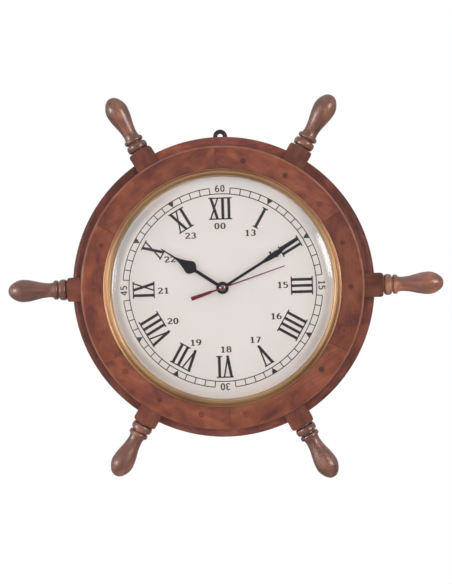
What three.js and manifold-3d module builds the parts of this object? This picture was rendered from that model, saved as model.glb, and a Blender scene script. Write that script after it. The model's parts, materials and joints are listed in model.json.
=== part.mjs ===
// Ship wheel wall clock: a wooden ship's wheel with six turned handles that carries a round brass
// bezel, a domed glass and a dial, with a battery quartz movement behind them.
// Millimetres. X is to the right, Z is up and the face looks along -Y. The wall is the plane y = 0.
// Pieces are drawn about the arbors of the hands and then moved, so that the origin lies where
// the wall hook bears in the hanging eye. A depth is measured forward from the wall, so depth d
// lies at y = -d. A level is measured back from the front face of the movement.

import * as THREE from 'three';
import { mergeVertices } from 'three/addons/utils/BufferGeometryUtils.js';
import Module from 'manifold-3d';

const wasm = await Module();
wasm.setup();

// Clearances
const seatGap = 0.3; // between two pieces that seat in or on each other
const runGap = 0.3; // round an arbor, a pipe or a pivot that turns in a hole
const cutPast = 1; // how far a cutting tool runs past the face it opens
const bite = 0.1; // how far two parts of one piece run into each other

// Facets round a full turn
const ringSides = 48;
const hiddenRingSides = 36;
const glassSides = 40;
const turnedSides = 12;
const discSides = 16;
const pipeSides = 12;
const dowelSides = 10;
const pivotSides = 8;

// Rear ring: one moulded ring, flat against the wall. All the other rings are set in from its rim.
const rearRingRadius = 156.8;
const rearRingThickness = 14;
const rearRingRounding = 5;
const rearStepInset = 8.8; // from the rim in to the step where the face stands proud
const rearStepHeight = 1.5;
const recessShelf = 10; // from the bore of the core ring in to the bore of the rear ring

// Core ring: behind the front ring, notched for the spoke blocks
const coreRingThickness = 20;
const coreRingSetBack = 3; // inside the rim of the front ring
const dialShelf = 10; // from the bore of the front ring in to the bore of the core ring

// Front ring: six felloes
const frontRingSetBack = 12.8; // inside the rim of the rear ring
const frontRingWidth = 28;
const frontRingThickness = 16;
const frontRingRounding = 2.4;
const spokeCount = 6;
const felloeJointTurn = 2.5; // degrees that the joints stand off midway between two spokes

// Dowels: three to a felloe, of which the middle one is turned on the spoke block behind it
const dowelRadius = 3.5;
const dowelDepthInCore = 14;
const dowelSpacing = 20; // degrees

// Spoke blocks, square pieces of hardwood clamped between the rings
const blockWidth = 25.2;
const blockShoulder = 4; // from the bore of the front ring to the block's inner end
const blockStandOut = 8.7; // from the rim of the rear ring to the block's outer end
const blockChamfer = 1.4;
const blockTurns = [0.35, -0.1, 0.75, 0.1, -0.8, -0.35]; // degrees off true, made by hand
const blockSetBacks = [0, 0, 0, 4.4, 2, 0];

// Handles, turned, with a tenon in the block
const tenonRadius = 4.5;
const tenonLength = 12;
const neckRadius = 7.2;
const neckLength = 1.2;
const beadRadius = 10.6;
const beadLength = 7.4;
const grooveRadius = 7.3;
const grooveLength = 1.8;
const collarRadius = 9.4;
const collarLength = 4.6;
const turnedEdge = 0.4; // how far a flank of the bead runs along the handle
const collarRise = 0.6;
const collarFall = 0.9; // from the collar down to the start of the long swell
const waistRadius = 7.1;
const waistAt = 24; // from the block's end
const bulbRadius = 11.6;
const bulbAt = 44.6;
const handleLength = 61;
const swellSteps = 8;
const handleLeans = [1.3, -0.8, -1.8, 0.9, 1.1, 0.6]; // degrees off the block's own line

// Bezel: spun brass with a skirt that lines the bore of the front ring
const bezelLap = 4.8; // out over the face of the front ring
const bezelLipWidth = 3; // in over the glass from the bore of the front ring
const bezelRise = 4.2; // above the face of the front ring
const bezelSkirtWall = 0.9;
const bezelLipDrop = 0.8; // from the crown down to the front of the lip
const bezelLipThickness = 1.8;
const bezelBeadWidth = 1.6; // outer bead, with a groove inside it
const bezelBeadHeight = 2.3;
const bezelGrooveWidth = 0.9;
const bezelGrooveDepth = 0.5;

// Domed glass and the ring that holds it up under the lip
const glassThickness = 2;
const glassRise = 8;
const glassRimWidth = 1.8; // flat rim under the lip
const domePower = 14; // a higher power gives a flatter middle and a steeper edge
const domeSteps = 7;
const domeSpread = 3; // a higher power sets more of the steps near the edge
const seatRingWall = 1;

// Dial: a printed sheet on the core ring
const dialThickness = 1.2;

// Hands, all cut from sheet
const handThickness = 0.6;
const hubRadius = 6.4;
const pipeProud = 0.6; // how far a pipe stands out of the face of its hand
const handAir = 0.7; // from the end of a pipe to the back of the next hand
const hourHandLength = 74.5;
const minuteHandLength = 91.8;
const secondHandLength = 67.2;
const secondTailLength = 34;
const capRadius = 3.35;
const capHeight = 1.6;
const hourStem = 1.7; // half widths, and distances from the arbor, of the two drop-shaped hands
const hourWidth = 6.9;
const hourStemEnd = 32.5;
const hourShoulder = 39.3;
const hourTaperEnd = 57.5;
const minuteStem = 1.35;
const minuteWidth = 2.95;
const minuteStemEnd = 49;
const minuteShoulder = 65.9;
const minuteTaperEnd = 80;
const needleHalf = 0.7;
const tipHalf = 0.35;
const tailStart = 10.7; // the same for the second hand and its tail
const tailStartHalf = 1.3;
const tailEndHalf = 1.9;
const secondNeedleHalf = 0.55;
const tailNeedleHalf = 0.8;
const shownHour = 10.19; // the hands show about ten past ten
const shownMinute = 9.9;
const shownSecond = 11.85;

// Movement case
const caseCorner = 3;
const caseDepth = 16.5;
const caseWall = 1.2;
const housingDepth = 8; // how far the housing's walls reach back to the cover
const stemRadius = 4;
const stemLength = 5.2; // forward of the movement's front face
const nutAcross = 11;
const nutThickness = 2.4;
const washerRadius = 6.2;
const washerThickness = 0.6;

// Arbors of the hands, one inside the other
const hourPipeRadius = 2.7;
const hourPipeBore = 2;
const pipeFit = 0.1; // radial, where a hand is pressed on its pipe
const secondsArborRadius = 0.65;

// Train. Each module follows from a centre distance and the tooth counts that share it.
const wheelThickness = 0.8;
const pinionThickness = 1;
const arborRadius = 0.5;
const pivotRadius = 0.35;
const pivotLength = 0.9;
const bossRadius = 1.3;
const bossLength = 2.3;
const toothTip = 0.07; // half widths, as shares of the pitch
const toothRoot = 0.215;
const toothRise = 0.9; // above and below the pitch circle, in modules
const toothFall = 1.2;
const centreWheelTeeth = 48;
const thirdPinionTeeth = 6;
const thirdWheelTeeth = 45;
const secondsPinionTeeth = 6;
const secondsWheelTeeth = 30;
const intermediatePinionTeeth = 6;
const intermediateWheelTeeth = 36;
const rotorPinionTeeth = 6;
const cannonPinionTeeth = 10;
const motionWheelTeeth = 30;
const motionPinionTeeth = 8;
const hourWheelTeeth = 32;
const knobPinionTeeth = 10;

// Where the arbors stand: the distance and the direction, in degrees, from the one before
const thirdFromCentre = 9;
const thirdDirection = 20;
const intermediateFromCentre = 9.6;
const intermediateDirection = 150;
const rotorFromIntermediate = 7;
const rotorDirection = 100;
const motionFromCentre = 7.5;
const motionDirection = 200;
const knobFromMotion = 7.5;
const knobDirection = 215;

// Levels of the wheels, back from the movement's front face
const hourWheelLevel = 1.7;
const motionWheelLevel = 3.1;
const centreWheelLevel = 4.5;
const thirdWheelLevel = 6.2;
const secondsWheelLevel = 7.8;
const intermediateWheelLevel = 9.4;
const arborEndLevel = 14.2;

// Motor
const magnetRadius = 2.8;
const magnetThickness = 2;
const magnetLevel = 10.8;
const magnetAir = 0.6;
const statorThickness = 1;
const statorLevel = 11.2;
const statorEyeRadius = 5.2;
const statorBarWidth = 4;
const statorLeft = -17; // middle line of the left arm
const statorToBoard = 2; // from the right arm to the circuit board
const coilRadius = 5;
const coilLevel = 8.5;
const coilGap = 0.5; // from the coil's flanges to the arms
const flangeThickness = 1;
const coreWidth = 3;
const flangeRise = 0.7; // above the winding

// Circuit board
const boardWidth = 11.5;
const boardHeight = 20;
const boardThickness = 1;
const boardLevel = 11.3;
const boardMiddle = -1; // above the arbors of the hands
const chipRadius = 2.6;
const chipHeight = 0.9;
const crystalRadius = 1;
const crystalLength = 6;
const chipBelow = 3; // from the middle of the board down to the chip
const crystalInset = 4; // from the top of the board down to the crystal
const postRadius = 1.2;
const postInset = 2; // from the edges of the board
const statorPostAbove = 3; // from the stator's bar up its right arm
const armAbove = 1; // from the coil's core up to the ends of the arms

// Battery
const batteryRadius = 7.1;
const batteryLength = 49.2;
const nubRadius = 2.7;
const nubLength = 1.3;
const canChamfer = 0.4;
const contactThickness = 0.5;
const contactSpring = 0.45; // how far a contact's bump stands out to the cell
const contactWidth = 9;
const contactHeight = 11;
const partitionWall = 0.8;

// Setting knob
const knobRadius = 5.4;
const knobThickness = 2.4;
const knobArborRadius = 1.2;
const knobLift = 0.5; // off the back of the cover
const knobFlutes = 12;
const knobFluteDepth = 0.5;

// Hanging eye: a strip let into the back of the rear ring
const hangerWidth = 14.8;
const hangerThickness = 1.5;
const hangerRise = 8.3; // above the rim of the rear ring
const hangerAside = -1.6; // from the middle of the wheel to the middle of the strip
const hangerEyeRadius = 2.8;
const hangerLength = 40;
const screwRadius = 1.6;
const screwHeadRadius = 3.1;
const screwHeadHeight = 1.1;
const screwPoint = 1.6; // length of the pointed end
const screwLength = 10;
const screwSpacing = 15;
const screwInset = 6; // from the strip's lower end
const hookHeight = rearRingRadius + hangerRise - hangerWidth / 2 + hangerEyeRadius;

// Depths and radii that follow
const frontRingRadius = rearRingRadius - frontRingSetBack;
const frontRingBore = frontRingRadius - frontRingWidth;
const coreRingBore = frontRingBore - dialShelf;
const rearRingBore = coreRingBore - recessShelf;
const rearStepRadius = rearRingRadius - rearStepInset;
const bezelRadius = frontRingBore + bezelLap;
const bezelLipRadius = frontRingBore - bezelLipWidth;
const coreBack = rearRingThickness;
const frontBack = coreBack + coreRingThickness;
const faceDepth = frontBack + frontRingThickness;
const coreRingRadius = frontRingRadius - coreRingSetBack;
const dowelCircle = (frontRingRadius + frontRingBore) / 2;
const blockInner = frontRingBore + blockShoulder;
const blockEnd = rearRingRadius + blockStandOut;
const spokeStep = 360 / spokeCount;
const dialFront = frontBack + dialThickness;
const skirtRadius = frontRingBore - seatGap;
const skirtInner = skirtRadius - bezelSkirtWall;
const glassRadius = skirtInner - seatGap;
const bezelTop = faceDepth + bezelRise;
const lipFront = bezelTop - bezelLipDrop;
const lipBack = lipFront - bezelLipThickness;
const glassFront = lipBack - seatGap;
const glassDepth = glassFront - glassThickness;
const moveFront = frontBack - seatGap;
const caseBackDepth = moveFront - caseDepth;
const stemBore = hourPipeRadius + runGap;
const minutePipeRadius = hourPipeBore - runGap;
const minutePipeBore = secondsArborRadius + runGap;
const washerBack = dialFront + seatGap;
const nutBack = washerBack + washerThickness + seatGap;
const stemFront = moveFront + stemLength;
const hourHandBack = Math.max(stemFront, nutBack + nutThickness) + seatGap;
const hourPipeFront = hourHandBack + handThickness + pipeProud;
const minuteHandBack = hourPipeFront + handAir;
const minutePipeFront = minuteHandBack + handThickness + pipeProud;
const secondHandBack = minutePipeFront + handAir;

// Colours, roughness and metalness
const finishes = {
  mahogany: [0x7c4a3c, 0.35, 0],
  darkMahogany: [0x5e3430, 0.4, 0],
  turnedWood: [0x8a6050, 0.3, 0],
  endGrain: [0x6a3a2c, 0.5, 0],
  brass: [0xd8a050, 0.25, 1],
  glass: [0xe8f0f2, 0.05, 0],
  dialWhite: [0xe2deda, 0.6, 0],
  navyHand: [0x20222e, 0.4, 0.3],
  redHand: [0x8e2a3a, 0.45, 0.2],
  blackPlastic: [0x1c1c1e, 0.55, 0],
  whitePlastic: [0xe6e4dc, 0.5, 0],
  copper: [0xb06a3a, 0.35, 0.9],
  silicon: [0x77787c, 0.4, 1],
  board: [0x2f5a38, 0.5, 0],
  batteryJacket: [0x3a4a5e, 0.35, 0.2],
  nickel: [0xb8b8b4, 0.3, 1],
  bronze: [0x2a2420, 0.45, 0.8],
  ferrite: [0x3a3a3c, 0.5, 0.4],
};

const clock = new THREE.Group();
const radians = THREE.MathUtils.degToRad;

// A direction in the plane of the wheel, counted anticlockwise from X as seen from the front.
function polar(distance, degrees, from = { x: 0, z: 0 }) {
  const angle = radians(degrees);
  return { x: from.x + distance * Math.cos(angle), z: from.z + distance * Math.sin(angle) };
}

// Turns a closed geometry into a solid, with its faces out whichever way it was drawn.
function solid(geometry) {
  const bare = geometry.clone();
  bare.deleteAttribute('normal');
  bare.deleteAttribute('uv');
  const merged = mergeVertices(bare, 1e-4);
  const position = merged.attributes.position;
  const index = Array.from(merged.index.array);
  const corners = [new THREE.Vector3(), new THREE.Vector3(), new THREE.Vector3()];
  const triangles = [];
  let volume = 0;
  for (let i = 0; i < index.length; i += 3) {
    const [a, b, c] = index.slice(i, i + 3);
    if (a === b || b === c || c === a) continue;
    corners.forEach((corner, k) => corner.fromBufferAttribute(position, [a, b, c][k]));
    volume += corners[0].dot(corners[1].clone().cross(corners[2]));
    triangles.push(a, b, c);
  }
  if (volume < 0) triangles.reverse();
  const mesh = new wasm.Mesh({
    numProp: 3,
    vertProperties: new Float32Array(position.array),
    triVerts: new Uint32Array(triangles),
  });
  return new wasm.Manifold(mesh);
}

function join(...solids) {
  return solids.reduce((whole, piece) => whole.add(piece));
}

function cut(body, ...tools) {
  return tools.reduce((rest, tool) => rest.subtract(tool), body);
}

function addPiece(name, body, finish) {
  const result = body.getMesh();
  const geometry = new THREE.BufferGeometry();
  const position = new THREE.BufferAttribute(new Float32Array(result.vertProperties), 3);
  geometry.setAttribute('position', position);
  geometry.setIndex(new THREE.BufferAttribute(new Uint32Array(result.triVerts), 1));
  geometry.translate(-hangerAside, 0, -hookHeight);
  geometry.computeVertexNormals();
  const [color, roughness, metalness] = finishes[finish];
  const material = new THREE.MeshStandardMaterial({ color, roughness, metalness });
  const mesh = new THREE.Mesh(geometry, material);
  mesh.name = name;
  clock.add(mesh);
}

// A body turned about the arbors' direction, from a section given as [radius, depth] pairs.
function turned(section, sides = ringSides, at = { x: 0, z: 0 }) {
  const points = section.map(([radius, depth]) => new THREE.Vector2(radius, -depth));
  const geometry = new THREE.LatheGeometry(points, sides);
  geometry.translate(at.x, 0, at.z);
  return solid(geometry);
}

// A ring section closes on itself, and a solid section starts and ends on the axis.
function ring(inner, outer, back, front, sides = ringSides, at = undefined) {
  return turned([[inner, back], [outer, back], [outer, front], [inner, front], [inner, back]], sides, at);
}

function rod(radius, back, front, sides = pipeSides, at = undefined) {
  return turned([[0, back], [radius, back], [radius, front], [0, front]], sides, at);
}

// A round hole whose flats, not its corners, lie at the stated radius.
function hole(radius, back, front, sides = pipeSides, at = undefined) {
  return rod(radius / Math.cos(Math.PI / sides), back, front, sides, at);
}

// A flat shape in the plane of the wheel, from one depth forward to another.
function plate(shape, back, front) {
  const geometry = new THREE.ExtrudeGeometry(shape, { depth: front - back, bevelEnabled: false });
  geometry.translate(0, 0, back);
  geometry.rotateX(Math.PI / 2);
  return solid(geometry);
}

function rectangle(left, right, low, high) {
  const shape = new THREE.Shape();
  shape.moveTo(left, low);
  shape.lineTo(right, low);
  shape.lineTo(right, high);
  shape.lineTo(left, high);
  shape.closePath();
  return shape;
}

function slab(left, right, low, high, back, front) {
  return plate(rectangle(left, right, low, high), back, front);
}

// Turns a solid about the arbors' direction, anticlockwise as seen from the front.
function spun(body, degrees) {
  return body.rotate([0, -degrees, 0]);
}

// Closed round section between two depths with its outer front edge rounded in three flats.
function roundedRingSection(inner, outer, back, front, rounding) {
  const section = [[inner, back], [outer, back]];
  for (const step of [0, 1, 2]) {
    const angle = radians(step * 45);
    const radius = outer - rounding * (1 - Math.cos(angle));
    section.push([radius, front - rounding * (1 - Math.sin(angle))]);
  }
  section.push([inner, front], [inner, back]);
  return section;
}

// Hanger strip, its two screws and the pocket that they need in the rear ring
const hangerTop = rearRingRadius + hangerRise;
const hangerLow = hangerTop - hangerLength;
const eyeCentre = { x: hangerAside, z: hangerTop - hangerWidth / 2 };
const screwPlaces = [0, 1].map((i) => {
  return { x: hangerAside, z: hangerLow + screwInset + i * screwSpacing };
});

function stripShape(growth) {
  const half = hangerWidth / 2 + growth;
  const shape = new THREE.Shape();
  shape.moveTo(hangerAside - half, hangerLow - growth);
  shape.lineTo(hangerAside + half, hangerLow - growth);
  shape.lineTo(hangerAside + half, eyeCentre.z);
  shape.absarc(hangerAside, eyeCentre.z, half, 0, Math.PI, false);
  shape.closePath();
  return shape;
}

function screwSection(growth, start) {
  const head = screwHeadRadius + growth;
  const shank = screwRadius + growth;
  return [
    [0, start],
    [head, start],
    [head, 0],
    [shank, screwHeadHeight],
    [shank, screwLength - screwPoint + growth],
    [0, screwLength + growth],
  ];
}

function makeHanger() {
  const sinks = screwPlaces.map((at) => turned(screwSection(seatGap, -cutPast), pipeSides, at));
  const eye = hole(hangerEyeRadius, -cutPast, hangerThickness + cutPast, pipeSides, eyeCentre);
  addPiece('hanger_plate', cut(plate(stripShape(0), 0, hangerThickness), eye, ...sinks), 'bronze');
  screwPlaces.forEach((at, i) => {
    addPiece(`hanger_screw_${i + 1}`, turned(screwSection(0, 0), pipeSides, at), 'bronze');
  });
}

function makeRearRing() {
  const section = [[rearRingBore, 0], [rearRingRadius - rearRingRounding / 2, 0]];
  section.push([rearRingRadius, rearRingRounding / 2]);
  const shoulder = rearRingThickness - rearStepHeight;
  for (const step of [0, 1, 2]) {
    const angle = radians(step * 45);
    const radius = rearRingRadius - rearRingRounding * (1 - Math.cos(angle));
    section.push([radius, shoulder - rearRingRounding * (1 - Math.sin(angle))]);
  }
  section.push([rearStepRadius + rearStepHeight, shoulder], [rearStepRadius, rearRingThickness]);
  section.push([rearRingBore, rearRingThickness], [rearRingBore, 0]);
  const pocket = plate(stripShape(seatGap), -cutPast, hangerThickness + seatGap);
  const bores = screwPlaces.map((at) => turned(screwSection(seatGap, -cutPast), pipeSides, at));
  addPiece('rear_ring', cut(turned(section), pocket, ...bores), 'darkMahogany');
}

// Spoke blocks and handles are drawn for the spoke that points along X, then spun to their place.
function blockSlot(growth, inner, outer) {
  const half = blockWidth / 2 + growth;
  return slab(inner, outer, -half, half, coreBack - cutPast, frontBack + cutPast);
}

function spokeAngle(i) {
  return i * spokeStep + blockTurns[i % blockTurns.length];
}

function dowelPlaces() {
  const places = [];
  for (let i = 0; i < spokeCount; i++) {
    for (const side of [-1, 1]) {
      places.push(polar(dowelCircle, i * spokeStep + side * dowelSpacing));
    }
  }
  return places;
}

// The dowel at a spoke stands true, whichever way its block is turned.
function pinPlace(i) {
  return polar(dowelCircle, i * spokeStep);
}

function makeCoreRing() {
  let body = ring(coreRingBore, coreRingRadius, coreBack, frontBack, hiddenRingSides);
  for (let i = 0; i < spokeCount; i++) {
    const slot = blockSlot(seatGap, blockInner - seatGap, coreRingRadius + cutPast);
    body = body.subtract(spun(slot, spokeAngle(i)));
  }
  const dowelBack = frontBack - dowelDepthInCore - seatGap;
  const holes = dowelPlaces().map((at) => {
    return hole(dowelRadius + seatGap, dowelBack, frontBack + cutPast, dowelSides, at);
  });
  addPiece('core_ring', cut(body, ...holes), 'darkMahogany');
}

function makeFrontRing() {
  const section = roundedRingSection(
    frontRingBore, frontRingRadius, frontBack, faceDepth, frontRingRounding,
  );
  const whole = turned(section);
  const reach = frontRingRadius * 1.3;
  const kerf = seatGap / 2;
  const places = [...dowelPlaces()];
  for (let i = 0; i < spokeCount; i++) places.push(pinPlace(i));
  const holes = places.map((at) => {
    return hole(dowelRadius + seatGap, frontBack - cutPast, faceDepth + cutPast, dowelSides, at);
  });
  const drilled = cut(whole, ...holes);
  for (let i = 0; i < spokeCount; i++) {
    const middle = i * spokeStep + felloeJointTurn;
    const start = polar(reach, middle - spokeStep / 2);
    const end = polar(reach, middle + spokeStep / 2);
    const crown = polar(reach * 1.2, middle);
    const inset = kerf / Math.sin(radians(spokeStep / 2));
    const tip = polar(inset, middle);
    const wedge = new THREE.Shape();
    wedge.moveTo(tip.x, tip.z);
    wedge.lineTo(tip.x + start.x, tip.z + start.z);
    wedge.lineTo(tip.x + crown.x, tip.z + crown.z);
    wedge.lineTo(tip.x + end.x, tip.z + end.z);
    wedge.closePath();
    const sector = plate(wedge, frontBack - cutPast, faceDepth + cutPast);
    addPiece(`front_felloe_${i + 1}`, drilled.intersect(sector), 'mahogany');
  }
}

// The turned outline of a handle, as [distance from the block's end, radius] pairs.
function handleOutline() {
  const beadStart = neckLength;
  const beadEnd = beadStart + beadLength;
  const collarStart = beadEnd + grooveLength;
  const collarEnd = collarStart + collarLength;
  const outline = [[seatGap, neckRadius], [beadStart, neckRadius]];
  const beadFlank = (beadRadius + neckRadius) / 2;
  outline.push([beadStart + turnedEdge, beadFlank], [beadStart + beadLength * 0.3, beadRadius]);
  outline.push([beadEnd - beadLength * 0.3, beadRadius], [beadEnd - turnedEdge, beadFlank]);
  outline.push([beadEnd, grooveRadius], [collarStart, grooveRadius]);
  outline.push([collarStart + collarRise, collarRadius], [collarEnd - collarFall, collarRadius]);
  const swell = new THREE.SplineCurve([
    new THREE.Vector2(collarEnd, collarRadius - collarFall),
    new THREE.Vector2(waistAt, waistRadius),
    new THREE.Vector2((waistAt + bulbAt) / 2, (waistRadius + bulbRadius) / 2),
    new THREE.Vector2(bulbAt, bulbRadius),
    new THREE.Vector2(handleLength - bulbRadius * 0.42, bulbRadius * 0.86),
    new THREE.Vector2(handleLength - bulbRadius * 0.1, bulbRadius * 0.42),
  ]);
  for (const point of swell.getPoints(swellSteps)) outline.push([point.x, point.y]);
  outline.push([handleLength, 0]);
  return outline;
}

// A lathe turns about Y, so a handle is turned there and laid along X from the block's end.
function layAlongSpoke(geometry, i) {
  const depth = (coreBack + frontBack) / 2;
  geometry.rotateZ(-Math.PI / 2);
  geometry.rotateY(-radians(handleLeans[i % handleLeans.length]));
  geometry.translate(blockEnd - blockSetBacks[i % blockSetBacks.length], -depth, 0);
  return spun(solid(geometry), spokeAngle(i));
}

function lathed(pairs) {
  const points = pairs.map(([along, radius]) => new THREE.Vector2(radius, along));
  return new THREE.LatheGeometry(points, turnedSides);
}

function makeSpoke(i) {
  const outer = blockEnd - blockSetBacks[i % blockSetBacks.length];
  const half = blockWidth / 2;
  const shape = new THREE.Shape();
  shape.moveTo(blockInner, -half);
  shape.lineTo(outer - blockChamfer, -half);
  shape.lineTo(outer, -half + blockChamfer);
  shape.lineTo(outer, half - blockChamfer);
  shape.lineTo(outer - blockChamfer, half);
  shape.lineTo(blockInner, half);
  shape.closePath();
  const pinBack = frontBack - dowelDepthInCore;
  const pin = rod(dowelRadius, pinBack, faceDepth, dowelSides, pinPlace(i));
  const block = join(spun(plate(shape, coreBack, frontBack), spokeAngle(i)), pin);
  const tenon = [[-tenonLength, 0], [-tenonLength, tenonRadius], [seatGap, tenonRadius]];
  const socketRadius = (tenonRadius + seatGap) / Math.cos(Math.PI / turnedSides);
  const socket = [
    [-tenonLength - seatGap, 0],
    [-tenonLength - seatGap, socketRadius],
    [cutPast, socketRadius],
    [cutPast, 0],
  ];
  const socketTool = layAlongSpoke(lathed(socket), i);
  addPiece(`spoke_block_${i + 1}`, cut(block, socketTool), 'mahogany');
  const handle = layAlongSpoke(lathed([...tenon, ...handleOutline()]), i);
  addPiece(`handle_${i + 1}`, handle, 'turnedWood');
}

function makeDowels() {
  dowelPlaces().forEach((at, i) => {
    const body = rod(dowelRadius, frontBack - dowelDepthInCore, faceDepth, dowelSides, at);
    addPiece(`dowel_${i + 1}`, body, 'endGrain');
  });
}

function makeBezel() {
  const skirtBack = dialFront + seatGap;
  const beadTop = faceDepth + bezelBeadHeight;
  const grooveOuter = bezelRadius - bezelBeadWidth;
  const crownOuter = grooveOuter - bezelGrooveWidth;
  const crownWidth = crownOuter - bezelLipRadius;
  const section = [
    [skirtInner, skirtBack],
    [skirtRadius, skirtBack],
    [skirtRadius, faceDepth],
    [bezelRadius, faceDepth],
    [bezelRadius, beadTop - bezelBeadWidth / 2],
    [bezelRadius - bezelBeadWidth / 2, beadTop],
    [grooveOuter, beadTop - bezelBeadWidth / 4],
    [(grooveOuter + crownOuter) / 2, beadTop - bezelGrooveDepth],
    [crownOuter, beadTop],
    [crownOuter - crownWidth * 0.45, bezelTop],
    [bezelLipRadius, lipFront],
    [bezelLipRadius, lipBack],
    [skirtInner, lipBack],
    [skirtInner, skirtBack],
  ];
  addPiece('bezel', turned(section), 'brass');
}

function makeGlass() {
  const domeRadius = glassRadius - glassRimWidth;
  const domeAt = (share, front) => {
    return [domeRadius * share, front + glassRise * (1 - share ** domePower)];
  };
  const shares = [];
  for (let i = 0; i <= domeSteps; i++) shares.push(1 - (1 - i / domeSteps) ** domeSpread);
  const inside = shares.map((share) => {
    const [radius, depth] = domeAt(share, glassDepth);
    return [radius * (1 - glassThickness / domeRadius), depth];
  });
  const outside = shares.map((share) => domeAt(share, glassFront)).reverse();
  const section = [...inside, [glassRadius, glassDepth], [glassRadius, glassFront], ...outside];
  addPiece('glass', turned(section, glassSides), 'glass');
  const seatInner = glassRadius - seatRingWall;
  const seatFront = glassDepth - seatGap;
  const seat = ring(seatInner, glassRadius, dialFront + seatGap, seatFront, hiddenRingSides);
  addPiece('glass_seat_ring', seat, 'brass');
}

function makeDial() {
  const sheet = rod(skirtRadius, frontBack, dialFront, hiddenRingSides);
  const stemHole = hole(stemRadius + seatGap, frontBack - cutPast, dialFront + cutPast);
  addPiece('dial', cut(sheet, stemHole), 'dialWhite');
}

// Clockwise angles of the hands from twelve
const minuteAngle = shownMinute * 6;
const hourAngle = shownHour * 30;
const secondAngle = shownSecond * 6;

// A symmetric blade along Z from half widths given as [distance from the hub, half width] pairs.
function blade(halves) {
  const shape = new THREE.Shape();
  const right = halves.map(([along, half]) => new THREE.Vector2(half, along));
  const left = halves.map(([along, half]) => new THREE.Vector2(-half, along)).reverse();
  shape.setFromPoints([...right, ...left]);
  return shape;
}

function makeHand(name, halves, back, pipe, angle) {
  const front = back + handThickness;
  const hub = rod(hubRadius, back, front, discSides);
  const collet = rod(pipe + pipeFit + handThickness, back, front + pipeProud / 2);
  const bore = hole(pipe + pipeFit, back - cutPast, front + cutPast);
  const body = cut(join(plate(blade(halves), back, front), hub, collet), bore);
  addPiece(name, spun(body, -angle), 'navyHand');
}

// Drop-shaped body: a round shoulder and a long taper to the needle
function dropHalves(stemEnd, shoulder, width, taperEnd, stem, needle) {
  const halves = [[stemEnd, stem]];
  for (const share of [0.25, 0.5, 0.75]) {
    const along = stemEnd + (shoulder - stemEnd) * share;
    halves.push([along, stem + (width - stem) * Math.sin((share * Math.PI) / 2)]);
  }
  halves.push([shoulder, width]);
  for (const share of [0.25, 0.5, 0.75]) {
    const along = shoulder + (taperEnd - shoulder) * share;
    halves.push([along, needle + (width - needle) * (1 - share) ** 1.3]);
  }
  halves.push([taperEnd, needle]);
  return halves;
}

function makeHands() {
  const hourHalves = [
    [0, hourStem],
    ...dropHalves(hourStemEnd, hourShoulder, hourWidth, hourTaperEnd, hourStem, needleHalf),
    [hourHandLength, tipHalf],
  ];
  makeHand('hour_hand', hourHalves, hourHandBack, hourPipeRadius, hourAngle);
  const minuteHalves = [
    [0, minuteStem],
    ...dropHalves(minuteStemEnd, minuteShoulder, minuteWidth, minuteTaperEnd, minuteStem, needleHalf),
    [minuteHandLength, tipHalf],
  ];
  makeHand('minute_hand', minuteHalves, minuteHandBack, minutePipeRadius, minuteAngle);
}

function makeSecondHand() {
  const front = secondHandBack + handThickness;
  const colletBack = minutePipeFront + seatGap;
  const needle = blade([
    [-tailStart, tailNeedleHalf],
    [0, tailNeedleHalf],
    [capRadius, secondNeedleHalf],
    [secondHandLength, tipHalf],
  ]);
  const tail = blade([[-secondTailLength, tailEndHalf], [-tailStart, tailStartHalf]]);
  const cap = turned([
    [0, colletBack],
    [capRadius * 0.6, colletBack],
    [capRadius, secondHandBack],
    [capRadius, secondHandBack + capHeight * 0.5],
    [capRadius * 0.72, secondHandBack + capHeight * 0.88],
    [0, secondHandBack + capHeight],
  ]);
  const boreRadius = secondsArborRadius + pipeFit;
  const bore = hole(boreRadius, colletBack - cutPast, secondHandBack + capHeight / 2, pivotSides);
  const sheet = join(plate(needle, secondHandBack, front), plate(tail, secondHandBack, front));
  addPiece('second_hand', spun(cut(join(sheet, cap), bore), -secondAngle), 'redHand');
}

// Gear outline with four points to a tooth and one tooth centred on the phase angle, in degrees.
function gearShape(teeth, module, phase) {
  const pitch = (2 * Math.PI) / teeth;
  const pitchRadius = (module * teeth) / 2;
  const tip = pitchRadius + toothRise * module;
  const root = pitchRadius - toothFall * module;
  const points = [];
  for (let i = 0; i < teeth; i++) {
    const middle = radians(phase) + i * pitch;
    const marks = [[root, -toothRoot], [tip, -toothTip], [tip, toothTip], [root, toothRoot]];
    for (const [radius, share] of marks) {
      const angle = middle + share * pitch;
      points.push(new THREE.Vector2(radius * Math.cos(angle), radius * Math.sin(angle)));
    }
  }
  return new THREE.Shape(points);
}

const centre = { x: 0, z: 0 };
const third = polar(thirdFromCentre, thirdDirection);
const intermediate = polar(intermediateFromCentre, intermediateDirection);
const rotor = polar(rotorFromIntermediate, rotorDirection, intermediate);
const motion = polar(motionFromCentre, motionDirection);
const knob = polar(knobFromMotion, knobDirection, motion);

// Module of two wheels in mesh
function moduleOf(distance, teeth, otherTeeth) {
  return (2 * distance) / (teeth + otherTeeth);
}

// Phase that sets a gap of the driven gear against a tooth of the driving one, on the line of
// centres that runs in the given direction from the driver.
function meshedPhase(driverTeeth, driverPhase, direction, teeth) {
  const share = ((driverPhase - direction) * driverTeeth) / 360;
  return direction + 180 - (share * 360) / teeth + 180 / teeth;
}

function level(back, thickness) {
  return [moveFront - back - thickness, moveFront - back];
}

function gear(teeth, module, phase, at, back, thickness) {
  return plate(gearShape(teeth, module, phase), ...level(back, thickness)).translate([at.x, 0, at.z]);
}

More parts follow.
